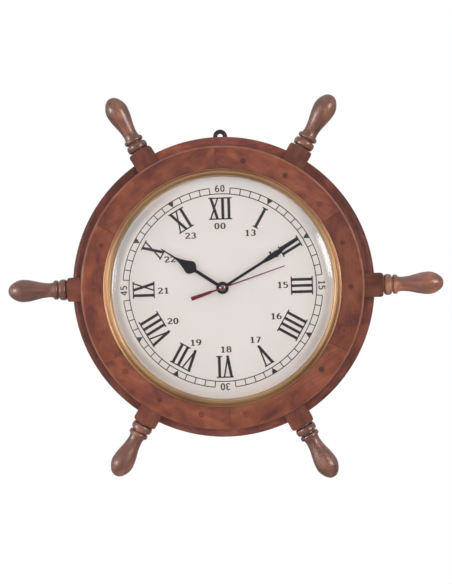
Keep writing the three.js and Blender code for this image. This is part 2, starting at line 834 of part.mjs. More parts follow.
// Arbor with a thinner pivot at each end, between two levels
function arbor(at, frontLevel, backLevel) {
  return turned([
    [0, moveFront - backLevel],
    [pivotRadius, moveFront - backLevel],
    [pivotRadius, moveFront - backLevel + pivotLength],
    [arborRadius, moveFront - backLevel + pivotLength],
    [arborRadius, moveFront - frontLevel - pivotLength],
    [pivotRadius, moveFront - frontLevel - pivotLength],
    [pivotRadius, moveFront - frontLevel],
    [0, moveFront - frontLevel],
  ], pivotSides, at);
}

const trainModule = moduleOf(thirdFromCentre, centreWheelTeeth, thirdPinionTeeth);
const secondsModule = moduleOf(thirdFromCentre, thirdWheelTeeth, secondsPinionTeeth);
const intermediateModule = moduleOf(intermediateFromCentre, secondsWheelTeeth, intermediatePinionTeeth);
const rotorModule = moduleOf(rotorFromIntermediate, intermediateWheelTeeth, rotorPinionTeeth);
const cannonModule = moduleOf(motionFromCentre, cannonPinionTeeth, motionWheelTeeth);
const hourModule = moduleOf(motionFromCentre, motionPinionTeeth, hourWheelTeeth);
const frontPivotLevel = caseWall / 2;

function makeCentreWheel() {
  const cannonLevel = motionWheelLevel - 2 * bite;
  const cannonLength = centreWheelLevel - cannonLevel + bite;
  const body = join(
    gear(centreWheelTeeth, trainModule, 0, centre, centreWheelLevel, wheelThickness),
    gear(cannonPinionTeeth, cannonModule, 0, centre, cannonLevel, cannonLength),
    rod(minutePipeRadius, moveFront - motionWheelLevel + bite, minutePipeFront),
  );
  const bore = hole(minutePipeBore, 0, minutePipeFront + cutPast, pivotSides);
  addPiece('centre_wheel', cut(body, bore), 'brass');
}

function makeThirdWheel() {
  const phase = meshedPhase(centreWheelTeeth, 0, thirdDirection, thirdPinionTeeth);
  addPiece('third_wheel', join(
    gear(thirdPinionTeeth, trainModule, phase, third, centreWheelLevel, pinionThickness),
    gear(thirdWheelTeeth, secondsModule, 0, third, thirdWheelLevel, wheelThickness),
    arbor(third, frontPivotLevel, arborEndLevel),
  ), 'whitePlastic');
}

function makeSecondsWheel() {
  const phase = meshedPhase(thirdWheelTeeth, 0, thirdDirection + 180, secondsPinionTeeth);
  const front = secondHandBack + capHeight / 2 - seatGap;
  const back = moveFront - arborEndLevel;
  addPiece('seconds_wheel', join(
    gear(secondsPinionTeeth, secondsModule, phase, centre, thirdWheelLevel, pinionThickness),
    gear(secondsWheelTeeth, intermediateModule, 0, centre, secondsWheelLevel, wheelThickness),
    turned([
      [0, back],
      [pivotRadius, back],
      [pivotRadius, back + pivotLength],
      [secondsArborRadius, back + pivotLength],
      [secondsArborRadius, front],
      [0, front],
    ], pivotSides),
  ), 'whitePlastic');
}

function makeIntermediateWheel() {
  const phase = meshedPhase(secondsWheelTeeth, 0, intermediateDirection, intermediatePinionTeeth);
  const at = intermediate;
  addPiece('intermediate_wheel', join(
    gear(intermediatePinionTeeth, intermediateModule, phase, at, secondsWheelLevel, pinionThickness),
    gear(intermediateWheelTeeth, rotorModule, 0, at, intermediateWheelLevel, wheelThickness),
    arbor(at, frontPivotLevel, arborEndLevel),
  ), 'whitePlastic');
}

function makeRotor() {
  const phase = meshedPhase(intermediateWheelTeeth, 0, rotorDirection, rotorPinionTeeth);
  const [back, front] = level(magnetLevel, magnetThickness);
  addPiece('rotor', join(
    gear(rotorPinionTeeth, rotorModule, phase, rotor, intermediateWheelLevel, pinionThickness),
    rod(magnetRadius, back, front, pipeSides, rotor),
    arbor(rotor, frontPivotLevel, arborEndLevel),
  ), 'ferrite');
}

const motionPhase = meshedPhase(cannonPinionTeeth, 0, motionDirection, motionWheelTeeth);

function makeMotionWork() {
  const stub = hole(pivotRadius + runGap, 0, moveFront, pivotSides, motion);
  const pinionLength = motionWheelLevel - hourWheelLevel + bite;
  const body = join(
    gear(motionPinionTeeth, hourModule, 0, motion, hourWheelLevel, pinionLength),
    gear(motionWheelTeeth, cannonModule, motionPhase, motion, motionWheelLevel, wheelThickness),
  );
  addPiece('motion_wheel', cut(body, stub), 'whitePlastic');
  const phase = meshedPhase(motionPinionTeeth, 0, motionDirection + 180, hourWheelTeeth);
  const hourBody = join(
    gear(hourWheelTeeth, hourModule, phase, centre, hourWheelLevel, wheelThickness),
    rod(hourPipeRadius, moveFront - hourWheelLevel - wheelThickness, hourPipeFront),
  );
  addPiece('hour_wheel', cut(hourBody, hole(hourPipeBore, 0, hourPipeFront + cutPast)), 'whitePlastic');
}

function makeKnob() {
  const phase = meshedPhase(motionWheelTeeth, motionPhase, knobDirection, knobPinionTeeth);
  const pinionBack = moveFront - motionWheelLevel - pinionThickness;
  const discFront = caseBackDepth - knobLift;
  const discBack = discFront - knobThickness;
  const rim = new THREE.Shape();
  for (let i = 0; i < knobFlutes * 2; i++) {
    const place = polar(knobRadius - (i % 2) * knobFluteDepth, (i * 180) / knobFlutes);
    if (i === 0) rim.moveTo(place.x, place.z);
    else rim.lineTo(place.x, place.z);
  }
  rim.closePath();
  addPiece('setting_knob', join(
    gear(knobPinionTeeth, cannonModule, phase, knob, motionWheelLevel, pinionThickness),
    plate(rim, discBack, discFront).translate([knob.x, 0, knob.z]),
    rod(knobArborRadius, discFront - bite, pinionBack + bite, pipeSides, knob),
    rod(pivotRadius, pinionBack, moveFront - frontPivotLevel, pivotSides, knob),
  ), 'blackPlastic');
}

function caseShape(inset) {
  const half = caseSide / 2 - inset;
  const corner = caseCorner - inset;
  const shape = new THREE.Shape();
  shape.moveTo(-half + corner, -half);
  shape.lineTo(half - corner, -half);
  shape.lineTo(half, -half + corner);
  shape.lineTo(half, half - corner);
  shape.lineTo(half - corner, half);
  shape.lineTo(-half + corner, half);
  shape.lineTo(-half, half - corner);
  shape.lineTo(-half, -half + corner);
  shape.closePath();
  return shape;
}

const eyeLine = rotor.z;

// Half the inside of the case: room for the cell and its contacts, or for the coil over the stator
const cellRoom = (batteryLength + nubLength) / 2 + contactSpring + contactThickness + 2 * seatGap;
const coilOverEye = Math.sqrt(coilRadius ** 2 - (statorLevel - coilLevel) ** 2) + seatGap;
const motorRoom = eyeLine + statorEyeRadius + coilOverEye + coilRadius + seatGap;
const caseInner = Math.max(cellRoom, motorRoom);
const caseSide = 2 * (caseInner + caseWall);
const batteryLevel = caseWall + seatGap + batteryRadius;
const batteryHeight = -(caseInner - seatGap - batteryRadius);
const bayTop = batteryHeight + batteryRadius + seatGap;
const coilHeight = caseInner - seatGap - coilRadius;
const boardRight = caseInner - seatGap;
const boardLeft = boardRight - boardWidth;
const boardLow = boardMiddle - boardHeight / 2;
const boardHigh = boardMiddle + boardHeight / 2;
const statorRight = boardLeft - statorToBoard - statorBarWidth / 2;

function makeHousing() {
  const [back, front] = level(0, housingDepth);
  const shell = plate(caseShape(0), back, front);
  const hollow = plate(caseShape(caseWall), back - cutPast, moveFront - caseWall);
  const stem = rod(stemRadius, moveFront - caseWall, stemFront, discSides);
  const boardPosts = [boardLow + postInset, boardHigh - postInset].map((z) => {
    return { x: boardRight - postInset, z };
  });
  const statorPosts = [
    { x: statorLeft, z: eyeLine },
    { x: statorRight, z: eyeLine + statorPostAbove },
  ];
  const posts = [
    ...boardPosts.map((at) => [at, boardLevel]),
    ...statorPosts.map((at) => [at, statorLevel]),
  ].map(([at, reach]) => {
    return rod(postRadius, moveFront - reach + seatGap, moveFront - caseWall / 2, pivotSides, at);
  });
  const stubBack = moveFront - centreWheelLevel + seatGap;
  const stub = rod(pivotRadius, stubBack, moveFront - caseWall / 2, pivotSides, motion);
  const pivots = [third, intermediate, rotor, knob].map((at) => {
    const holeBack = moveFront - caseWall - cutPast;
    return hole(pivotRadius + runGap, holeBack, moveFront - seatGap, pivotSides, at);
  });
  const bore = hole(stemBore, 0, stemFront + cutPast);
  const body = join(cut(shell, hollow), stem, ...posts, stub);
  addPiece('movement_housing', cut(body, bore, ...pivots), 'blackPlastic');
}

function makeCover() {
  const shell = plate(caseShape(0), caseBackDepth, moveFront - housingDepth);
  const hollow = plate(caseShape(caseWall), caseBackDepth + caseWall, moveFront);
  const bayHalf = (batteryLength + nubLength) / 2 + seatGap;
  const bay = slab(-bayHalf, bayHalf, -caseInner, bayTop, 0, caseBackDepth + caseWall + cutPast);
  const wallBack = caseBackDepth + caseWall / 2;
  const wallFront = moveFront - housingDepth;
  const wallHalf = caseSide / 2 - caseWall / 2;
  const wall = slab(-wallHalf, wallHalf, bayTop, bayTop + partitionWall, wallBack, wallFront);
  const arbors = [centre, third, intermediate, rotor];
  const bossFront = caseBackDepth + caseWall + bossLength;
  const bosses = arbors.map((at) => rod(bossRadius, wallBack, bossFront, pivotSides, at));
  const pivotBack = moveFront - arborEndLevel - seatGap;
  const pivots = arbors.map((at) => {
    return hole(pivotRadius + runGap, pivotBack, bossFront + cutPast, pivotSides, at);
  });
  const knobHole = hole(knobArborRadius + runGap, 0, moveFront, pipeSides, knob);
  const body = join(cut(shell, hollow, bay), wall, ...bosses);
  addPiece('movement_cover', cut(body, knobHole, ...pivots), 'blackPlastic');
}

function makeMotor() {
  const [back, front] = level(statorLevel, statorThickness);
  const half = statorBarWidth / 2;
  const armTop = coilHeight + coreWidth / 2 + armAbove;
  const [barLow, barHigh] = [eyeLine - half, eyeLine + half];
  const bar = slab(statorLeft - half, statorRight + half, barLow, barHigh, back, front);
  const arms = [statorLeft, statorRight].map((x) => {
    return slab(x - half, x + half, barLow, armTop, back, front);
  });
  const eye = rod(statorEyeRadius, back, front, discSides, rotor);
  const gap = hole(magnetRadius + magnetAir, back - cutPast, front + cutPast, discSides, rotor);
  addPiece('stator', cut(join(bar, eye, ...arms), gap), 'silicon');
  const left = statorLeft + half + coilGap;
  const right = statorRight - half - coilGap;
  const drum = (radius, from, to) => {
    const geometry = new THREE.CylinderGeometry(radius, radius, to - from, pipeSides);
    geometry.rotateZ(Math.PI / 2);
    geometry.translate((from + to) / 2, -(moveFront - coilLevel), coilHeight);
    return solid(geometry);
  };
  const coreBackDepth = back - seatGap - statorThickness;
  const core = slab(
    statorLeft - half, statorRight + half, coilHeight - coreWidth / 2, coilHeight + coreWidth / 2,
    coreBackDepth, back - seatGap,
  );
  addPiece('coil', join(
    drum(coilRadius - flangeRise, left, right),
    drum(coilRadius, left, left + flangeThickness),
    drum(coilRadius, right - flangeThickness, right),
    core,
  ), 'copper');
}

function makeBoard() {
  const [back, front] = level(boardLevel, boardThickness);
  const chip = { x: (boardLeft + boardRight) / 2, z: boardMiddle - chipBelow };
  const can = new THREE.CylinderGeometry(crystalRadius, crystalRadius, crystalLength, pivotSides);
  can.rotateZ(Math.PI / 2);
  can.translate(chip.x, -(back - crystalRadius * 0.6), boardHigh - crystalInset);
  addPiece('circuit_board', join(
    slab(boardLeft, boardRight, boardLow, boardHigh, back, front),
    rod(chipRadius, back - chipHeight, back + bite, pipeSides, chip),
    solid(can),
  ), 'board');
}

function makeBattery() {
  const half = (batteryLength + nubLength) / 2;
  const geometry = lathed([
    [-half, 0],
    [-half, batteryRadius - canChamfer],
    [-half + canChamfer, batteryRadius],
    [half - nubLength - canChamfer, batteryRadius],
    [half - nubLength, batteryRadius - canChamfer],
    [half - nubLength, nubRadius],
    [half, nubRadius],
    [half, 0],
  ]);
  geometry.rotateZ(-Math.PI / 2);
  const depth = moveFront - batteryLevel;
  geometry.translate(0, -depth, batteryHeight);
  addPiece('battery', solid(geometry), 'batteryJacket');
  const plateOuter = caseInner - seatGap;
  const plateInner = plateOuter - contactThickness;
  const buttonTip = half + seatGap;
  [['contact_minus', -1], ['contact_plus', 1]].forEach(([name, side]) => {
    const strip = (from, to, width, height) => {
      const [low, high] = [side * from, side * to].sort((a, b) => a - b);
      const z = batteryHeight;
      return slab(low, high, z - width / 2, z + width / 2, depth - height / 2, depth + height / 2);
    };
    const sheet = strip(plateInner, plateOuter, contactWidth, contactHeight);
    addPiece(name, join(sheet, strip(buttonTip, plateOuter, nubRadius * 2, nubRadius * 2)), 'nickel');
  });
}

function makeStemNut() {
  const washerFront = washerBack + washerThickness;
  const washer = ring(stemRadius + seatGap, washerRadius, washerBack, washerFront, discSides);
  addPiece('stem_washer', washer, 'brass');
  const corner = nutAcross / 2 / Math.cos(Math.PI / 6);
  const nut = rod(corner, nutBack, nutBack + nutThickness, 6);
  const thread = hole(stemRadius + seatGap, 0, faceDepth, discSides);
  addPiece('stem_nut', cut(nut, thread), 'brass');
}

makeRearRing();
makeCoreRing();
makeFrontRing();
for (let i = 0; i < spokeCount; i++) makeSpoke(i);
makeDowels();
makeBezel();
makeGlass();
makeDial();
makeHands();
makeSecondHand();
makeStemNut();
makeHousing();
makeCover();
makeCentreWheel();
makeThirdWheel();
makeSecondsWheel();
makeIntermediateWheel();
makeRotor();
makeMotionWork();
makeKnob();
makeMotor();
makeBoard();
makeBattery();
makeHanger();

export default clock;
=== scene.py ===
"""Looks of the ship wheel wall clock, built over its fixed frame, with the stage that shows it."""

import json
from functools import partial
from math import atan2, copysign, cos, degrees, hypot, pi, radians, sin
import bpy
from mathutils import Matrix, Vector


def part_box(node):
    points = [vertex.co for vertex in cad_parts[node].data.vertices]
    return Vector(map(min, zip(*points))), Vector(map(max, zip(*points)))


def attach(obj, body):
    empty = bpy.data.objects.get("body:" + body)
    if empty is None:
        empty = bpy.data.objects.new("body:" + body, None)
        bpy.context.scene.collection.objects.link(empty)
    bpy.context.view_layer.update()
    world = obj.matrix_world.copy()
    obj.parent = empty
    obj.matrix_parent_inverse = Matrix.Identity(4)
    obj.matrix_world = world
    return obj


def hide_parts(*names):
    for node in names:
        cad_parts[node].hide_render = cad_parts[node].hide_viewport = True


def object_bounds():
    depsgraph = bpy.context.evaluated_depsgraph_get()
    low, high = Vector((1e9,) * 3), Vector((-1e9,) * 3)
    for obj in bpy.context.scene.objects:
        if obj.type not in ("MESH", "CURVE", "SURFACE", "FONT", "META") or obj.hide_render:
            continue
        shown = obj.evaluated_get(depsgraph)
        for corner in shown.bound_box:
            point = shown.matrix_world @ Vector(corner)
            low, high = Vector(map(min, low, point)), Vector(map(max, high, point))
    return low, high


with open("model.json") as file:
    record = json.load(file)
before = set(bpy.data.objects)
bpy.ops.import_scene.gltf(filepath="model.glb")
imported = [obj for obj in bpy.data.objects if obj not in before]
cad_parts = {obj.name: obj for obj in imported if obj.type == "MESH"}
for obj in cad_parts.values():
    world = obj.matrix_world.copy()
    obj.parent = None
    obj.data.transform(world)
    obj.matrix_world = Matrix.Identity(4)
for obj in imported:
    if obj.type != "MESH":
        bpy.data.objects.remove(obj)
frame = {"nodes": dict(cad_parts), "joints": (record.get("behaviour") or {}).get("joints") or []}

from types import SimpleNamespace

import bmesh
import bpy
from mathutils import Matrix, Vector
from mathutils.geometry import delaunay_2d_cdt

bl_info = {
    "name": "Ship Wheel Clock",
    "version": (1, 0, 0),
    "blender": (4, 5, 0),
    "location": "View3D > Sidebar > Wheel Clock",
    "description": "Wooden wheel, brass bezel, dial and hands of a wall clock",
    "category": "Object",
}

CAD_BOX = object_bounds()
MM = 0.001
CASE = "wheel_and_case"
HUB = Vector(next(j["pos_m"] for j in frame["joints"] if j["name"] == "minute_hand_turn"))
# The bench: millimetres, x to the right, y up and z forward from the wall, about the arbors
BENCH = Matrix.Translation(HUB) @ Matrix.Rotation(radians(90), 4, "X") @ Matrix.Scale(MM, 4)
TURN = 60  # degrees from one spoke to the next
FELLOE_SHIFT = 2.5  # degrees that the felloes stand round from the spokes
PLUG_STEP = 20  # degrees from one plug to the next
PLUG_LENGTH = 3.6
# How light each board came out of the stain, from the right, anticlockwise
FELLOE_TONES = [0.84, 1.1, 0.95, 1.03, 1.17, 1.0]
# The rear ring's top piece stands much lighter: partly painted light on its top edge, lit from
# above, partly the boards' own tones
REAR_TONES_AND_TOP_LIGHT = [0.94, 1.8, 0.94, 0.98, 1.39, 1.1]
# How deep each plug has drunk the stain
PLUG_DEPTHS = [0.8, 1.0, 0.9, 0.7, 1.6, 0.15, 0.0, 0.05, 0.5, 0.6, 0.6, 0.5, 1.0, 1.1, 0.6, 0.1,
               1.1, 0.7]
# Where the hands stand, in degrees clockwise from twelve
HOUR_ANGLE, MINUTE_ANGLE, SECOND_ANGLE = 303.0, 58.08, 71.1
# A block's tone, degrees off true and set-back, and its handle's tone and degrees of lean
SPOKE_FACTS = [
    (0.72, 0.35, 0, 1.3, 1.3), (0.76, -0.1, 0, 0.8, -0.8), (1.08, 0.75, 0, 0.83, -1.8),
    (1.3, 0.1, 4.4, 0.84, 0.9), (1.2, -0.8, 2, 0.92, 1.1), (1.13, -0.35, 0, 0.72, 0.6),
]


def across(node):
    """Half of a node's width, in millimetres."""
    low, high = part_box(node)
    return (high.x - low.x) / 2 / MM


def depths(node):
    """A node's back and front, in millimetres forward from the wall."""
    low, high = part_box(node)
    return -high.y / MM, -low.y / MM


def linear(code):
    """The linear colour of an sRGB hex code."""
    channels = [int(code[i:i + 2], 16) / 255 for i in (1, 3, 5)]
    curve = [c / 12.92 if c <= 0.04045 else ((c + 0.055) / 1.055) ** 2.4 for c in channels]
    return (*curve, 1.0)


def length(name, description, millimetres):
    return bpy.props.FloatProperty(
        name=name, description=description, default=millimetres * MM, min=0, precision=4,
        unit="LENGTH",
    )


def colour(name, description, code):
    return bpy.props.FloatVectorProperty(
        name=name, description=description, default=linear(code), size=4, min=0, max=1,
        subtype="COLOR",
    )


class WheelSizes(bpy.types.PropertyGroup):
    """Sizes of the rings and the spoke blocks."""

    rear_radius: length("Rear ring radius", "Outer radius of the rear ring",
                        across("rear_ring") + 0.4)
    rear_bore: length("Rear ring bore", "Radius of the hole through the rear ring", 96)
    rear_rounding: length("Rear ring rounding", "Rounding of the rear ring's front edge", 5)
    step_radius: length("Step radius", "Radius inside which the rear ring stands proud", 148)
    step_height: length("Step height", "Height of that step", 1.5)
    front_radius: length("Front ring radius", "Outer radius of the front ring", 144)
    front_bore: length("Front ring bore", "Inner radius of the front ring", 116)
    front_rounding: length("Front ring rounding", "Rounding of the front ring's rim", 2.4)
    felloe_gap: length("Felloe gap", "Gap between two felloes", 0.1)
    plug_radius: length("Plug radius", "Radius of the wooden plugs", 3.5)
    plug_circle: length("Plug circle", "Radius of the circle that the plugs stand on", 130)
    block_width: length("Block width", "Width of a spoke block", 24.7)
    block_inner: length("Block start", "Distance from the arbors to a block's inner end", 120)
    block_outer: length("Block end", "Distance from the arbors to a block's outer end", 164.4)
    block_chamfer: length("Block chamfer", "Chamfer at a block's outer corners", 1.4)


class HandleSizes(bpy.types.PropertyGroup):
    """Sizes along a turned handle, from the end of its block."""

    bead_radius: length("Bead radius", "Radius of the bead next to the block", 10.9)
    bead_end: length("Bead end", "Where the bead ends", 9.1)
    groove_radius: length("Groove radius", "Radius at the bottom of the groove", 7.6)
    collar_start: length("Collar start", "Where the collar starts", 10.4)
    collar_end: length("Collar end", "Where the collar ends", 15.2)
    collar_radius: length("Collar radius", "Radius of the collar", 10.1)
    waist_at: length("Waist", "Where the handle is thinnest", 20.4)
    waist_radius: length("Waist radius", "Radius at the waist", 7.4)
    bulb_at: length("Bulb", "Where the handle is thickest", 47)
    bulb_radius: length("Bulb radius", "Radius of the bulb", 11.7)
    full_length: length("Length", "Length of the handle", 62.5)


class DialSizes(bpy.types.PropertyGroup):
    """Sizes of the print on the dial."""

    print_turn: bpy.props.FloatProperty(
        name="Print turn", description="Angle that the print stands off true, anticlockwise",
        default=radians(0.95), unit="ROTATION", subtype="ANGLE",
    )
    track_outer: length("Track outer radius", "Radius of the minute track's outer circle", 102.4)
    track_inner: length("Track inner radius", "Radius of the minute track's inner circle", 96.1)
    line_width: length("Line width", "Width of the track's lines", 0.95)
    hour_outer: length("Numeral top", "Radius that the tops of the hour numerals reach", 92.4)
    hour_inner: length("Numeral foot", "Radius of the feet of the hour numerals", 69.8)
    stem_width: length("Numeral stem", "Width of a numeral's thick strokes", 2.9)
    day_aside: length("Day ring aside", "Half width of the oval that the 00 to 23 stand on", 61.2)
    day_rise: length("Day ring rise", "Half height of that oval", 63.3)
    digit_height: length("Digit height", "Height of the digits from 00 to 23", 6.1)
    minute_height: length("Minute height", "Height of the digits in the minute track", 6.9)


class ClockColours(bpy.types.PropertyGroup):
    """Colours of the finishes."""

    felloe: colour("Felloes", "Stained and varnished wood of the front ring", "#7A4231")
    felloe_dark: colour("Felloe patches", "Dark patches in that wood", "#5F322E")
    felloe_light: colour("Felloe lights", "Light patches in that wood", "#8E503B")
    rear: colour("Rear ring", "Stained wood of the rear ring", "#6B3B33")
    handle: colour("Handles", "Varnished wood of the handles", "#7E4935")
    handle_light: colour("Handle lights", "Light streaks in that wood", "#A0654B")
    brass: colour("Brass", "Polished brass under lacquer", "#DAAF84")
    brass_aged: colour("Aged brass", "Brass that has dulled in the grooves", "#B88D6C")
    dial: colour("Dial", "White printed dial", "#E6DFDB")
    ink: colour("Ink", "Ink of the numerals", "#1C1A22")
    navy: colour("Hands", "Lacquer of the hour and minute hands", "#0C0812")
    red: colour("Second hand", "Lacquer of the second hand", "#6A1226")


def in_mm(group):
    """A property group's lengths, in millimetres."""
    return SimpleNamespace(**{key: getattr(group, key) / MM for key in group.__annotations__})


# Meshes


def as_mesh(build, name, sharp):
    """Turns a bmesh into a mesh whose edges are sharp past an angle in degrees."""
    mesh = bpy.data.meshes.new(name)
    build.to_mesh(mesh)
    build.free()
    mesh.shade_smooth()
    mesh.set_sharp_from_angle(angle=radians(sharp))
    return mesh


def finish_mesh(build, name, place=BENCH, sharp=32):
    """Merges a bmesh's doubles, turns its faces out and makes it a mesh in its place."""
    bmesh.ops.remove_doubles(build, verts=build.verts, dist=1e-5)
    bmesh.ops.recalc_face_normals(build, faces=build.faces)
    build.transform(place)
    return as_mesh(build, name, sharp)


def skin(build, rows):
    """Joins rows of points, each of which closes on itself, by faces."""
    for low, high in zip(rows, rows[1:]):
        for k in range(len(low)):
            after = (k + 1) % len(low)
            corners = list(dict.fromkeys((low[k], low[after], high[after], high[k])))
            if len(corners) > 2:
                build.faces.new(corners)


def revolve(profile, sides, closed=False):
    """A body turned about z from [radius, height] pairs. A closed profile makes a ring."""
    build = bmesh.new()
    angles = [2 * pi * k / sides for k in range(sides)]
    rows = []
    for radius, height in profile:
        if radius < 1e-6:
            rows.append([build.verts.new((0, 0, height))] * sides)
            continue
        rows.append([build.verts.new((radius * cos(a), radius * sin(a), height)) for a in angles])
    skin(build, rows + rows[:1] if closed else rows)
    return build


def oval(x, y, wide, high, start=0, end=360, steps=24):
    """Points of an oval arc about (x, y), in degrees from its right side."""
    points = []
    for k in range(steps + 1):
        angle = radians(start + (end - start) * k / steps)
        points.append((x + wide * cos(angle), y + high * sin(angle)))
    return points


def arc(x, y, radius, start, end, steps):
    return oval(x, y, radius, radius, start, end, steps)


def disc(radius, sides=64):
    return arc(0, 0, radius, 0, 360, sides)[:-1]


def smooth_path(points, steps):
    """A smooth line through points of any number of values."""
    path = []
    last = len(points) - 1
    for i in range(last):
        a, b, c, d = (points[max(0, min(last, k))] for k in (i - 1, i, i + 1, i + 2))
        for k in range(steps):
            t = k / steps
            path.append(tuple(
                0.5 * (2 * q + (r - p) * t + (2 * p - 5 * q + 4 * r - s) * t ** 2
                       + (3 * q - p - 3 * r + s) * t ** 3)
                for p, q, r, s in zip(a, b, c, d)
            ))
    path.append(tuple(points[-1]))
    return path


def plate(polygons, back, front, bevel=0.0):
    """A flat piece cut to the union of some polygons, from one height to another."""
    points, loops = [], []
    for polygon in polygons:
        loop = list(range(len(points), len(points) + len(polygon)))
        points.extend(Vector(p) for p in polygon)
        area = sum(a[0] * b[1] - b[0] * a[1] for a, b in zip(polygon, polygon[1:] + polygon[:1]))
        loops.append(loop if area > 0 else loop[::-1])
    verts, _, faces, _, _, sources = delaunay_2d_cdt(points, [], loops, 0, 1e-5)
    build = bmesh.new()
    made = [build.verts.new((v.x, v.y, back)) for v in verts]
    for face, source in zip(faces, sources):
        if source:
            build.faces.new([made[i] for i in face])
    bmesh.ops.dissolve_limit(
        build, angle_limit=0.01, verts=build.verts, edges=build.edges, delimit={"NORMAL"},
    )
    floor = list(build.faces)
    raised = bmesh.ops.extrude_face_region(build, geom=floor, use_keep_orig=True)["geom"]
    top = [v for v in raised if isinstance(v, bmesh.types.BMVert)]
    bmesh.ops.translate(build, vec=(0, 0, front - back), verts=top)
    bmesh.ops.recalc_face_normals(build, faces=build.faces)
    if bevel:
        sharp = [e for e in build.edges if e.is_manifold and e.calc_face_angle() > 0.5
                 and abs(e.verts[0].co.z - e.verts[1].co.z) < 1e-6
                 and e.verts[0].co.z > (back + front) / 2]
        bmesh.ops.bevel(build, geom=sharp, offset=bevel, segments=2, affect="EDGES")
    return build


def set_grain(mesh, laid, seed, tone):
    """Stores where each face corner lies along (x) and across the grain, and the board's tone.

    The lay of the grain is a matrix, or one for each face, and the tone may follow the corner.
    """
    layer = mesh.attributes.new("grain", "FLOAT_VECTOR", "CORNER")
    shift = Vector((seed * 0.37, seed * 0.11, seed * 0.23))
    values = [0.0] * (3 * len(mesh.loops))
    tones = [0.0] * len(mesh.loops)
    for polygon in mesh.polygons:
        inverse = laid(polygon.center) if callable(laid) else laid
        for loop in polygon.loop_indices:
            corner = mesh.vertices[mesh.loops[loop].vertex_index].co
            values[3 * loop:3 * loop + 3] = inverse @ corner + shift
            tones[loop] = tone(corner) if callable(tone) else tone
    layer.data.foreach_set("vector", values)
    mesh.attributes.new("tone", "FLOAT", "CORNER").data.foreach_set("value", tones)


def grain_frame(angle, piece):
    """Takes a place in the row frame to one along a direction in the wheel's plane."""
    turn = Matrix.Rotation(radians(angle), 4, "Y")
    return Matrix.Translation((piece * 0.31, piece * 0.17, 0)) @ turn @ Matrix.Translation(-HUB)


def direction_of(point):
    """Angle of a place round the arbors, in degrees from the right, anticlockwise."""
    return degrees(atan2(point.z - HUB.z, point.x - HUB.x)) % 360


def put(name, data):
    """Adds an object to the scene."""
    item = bpy.data.objects.new(name, data)
    bpy.context.scene.collection.objects.link(item)
    return item


def show(name, mesh, material, body=CASE, stands_for=()):
    """Adds a finished piece, which rides on its body and stands for some nodes of the frame."""
    piece = put(name, mesh)
    mesh.materials.clear()
    mesh.materials.append(material)
    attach(piece, body)
    if stands_for:
        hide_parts(*stands_for)


def paint(node, material):
    """Gives a node of the frame its material."""
    slots = frame["nodes"][node].data.materials
    slots.clear()
    slots.append(material)


def settled(piece, *helpers):
    """The piece's mesh with its modifiers carried out. It and its helpers are used up."""
    bpy.context.view_layer.update()
    graph = bpy.context.evaluated_depsgraph_get()
    mesh = bpy.data.meshes.new_from_object(piece.evaluated_get(graph))
    for item in (piece, *helpers):
        bpy.data.objects.remove(item)
    return mesh


def softened(node, width):
    """A copy of a frame node with its edges rounded."""
    build = bmesh.new()
    build.from_mesh(frame["nodes"][node].data)
    bmesh.ops.remove_doubles(build, verts=build.verts, dist=1e-6)
    bmesh.ops.dissolve_limit(
        build, angle_limit=0.02, verts=build.verts, edges=build.edges, delimit={"NORMAL"},
    )
    sharp = [e for e in build.edges if e.is_manifold and e.calc_face_angle() > 0.6]
    bmesh.ops.bevel(
        build, geom=sharp, offset=width * MM, segments=2, affect="EDGES", clamp_overlap=True,
    )
    return as_mesh(build, node, 40)


# Materials

SMOOTH = {"interpolation_type": "SMOOTHSTEP"}
BLEND = {"data_type": "RGBA", "out": 2}


def add_node(tree, kind, links=(), stops=(), out=0, **settings):
    """Adds a node with its settings, its sockets' values or links, and its colour stops.

    A kind that names no family is a shader node. Gives one output, or for None the node.
    """
    node = tree.nodes.new(kind if "Node" in kind else "ShaderNode" + kind)
    for key, value in settings.items():
        setattr(node, key, value)
    for key, value in links.items() if isinstance(links, dict) else enumerate(links):
        if isinstance(value, bpy.types.NodeSocket):
            tree.links.new(value, node.inputs[key])
        else:
            node.inputs[key].default_value = value
    for i, (position, shade) in enumerate(stops):
        elements = node.color_ramp.elements
        element = elements[i] if i < len(elements) else elements.new(position)
        element.position = position
        element.color = shade
    return node if out is None or not node.outputs else node.outputs[out]


def grey(value):
    return (value, value, value, 1.0)


def new_material(name):
    """An empty material and the function that adds nodes to it."""
    material = bpy.data.materials.new(name)
    material.use_nodes = True
    material.node_tree.nodes.clear()
    return material, partial(add_node, material.node_tree)


def surfaced(material, add, tone, gloss, relief, more):
    """Finishes a material from its tone and two patterns, and sets more inputs of its shader.

    Gloss is a pattern and the roughness at its ends. Relief is a pattern, its strength and its
    height in millimetres.
    """
    pattern, low, high = gloss
    rough = add("MapRange", (pattern, 0.3, 0.7, low, high))
    pattern, strength, depth = relief
    bump = add("Bump", {"Strength": strength, "Distance": depth * MM, "Height": pattern})
    shader = add("BsdfPrincipled", {
        "Base Color": tone, "Roughness": rough, "Normal": bump, **more,
    })
    add("OutputMaterial", (shader,))
    return material


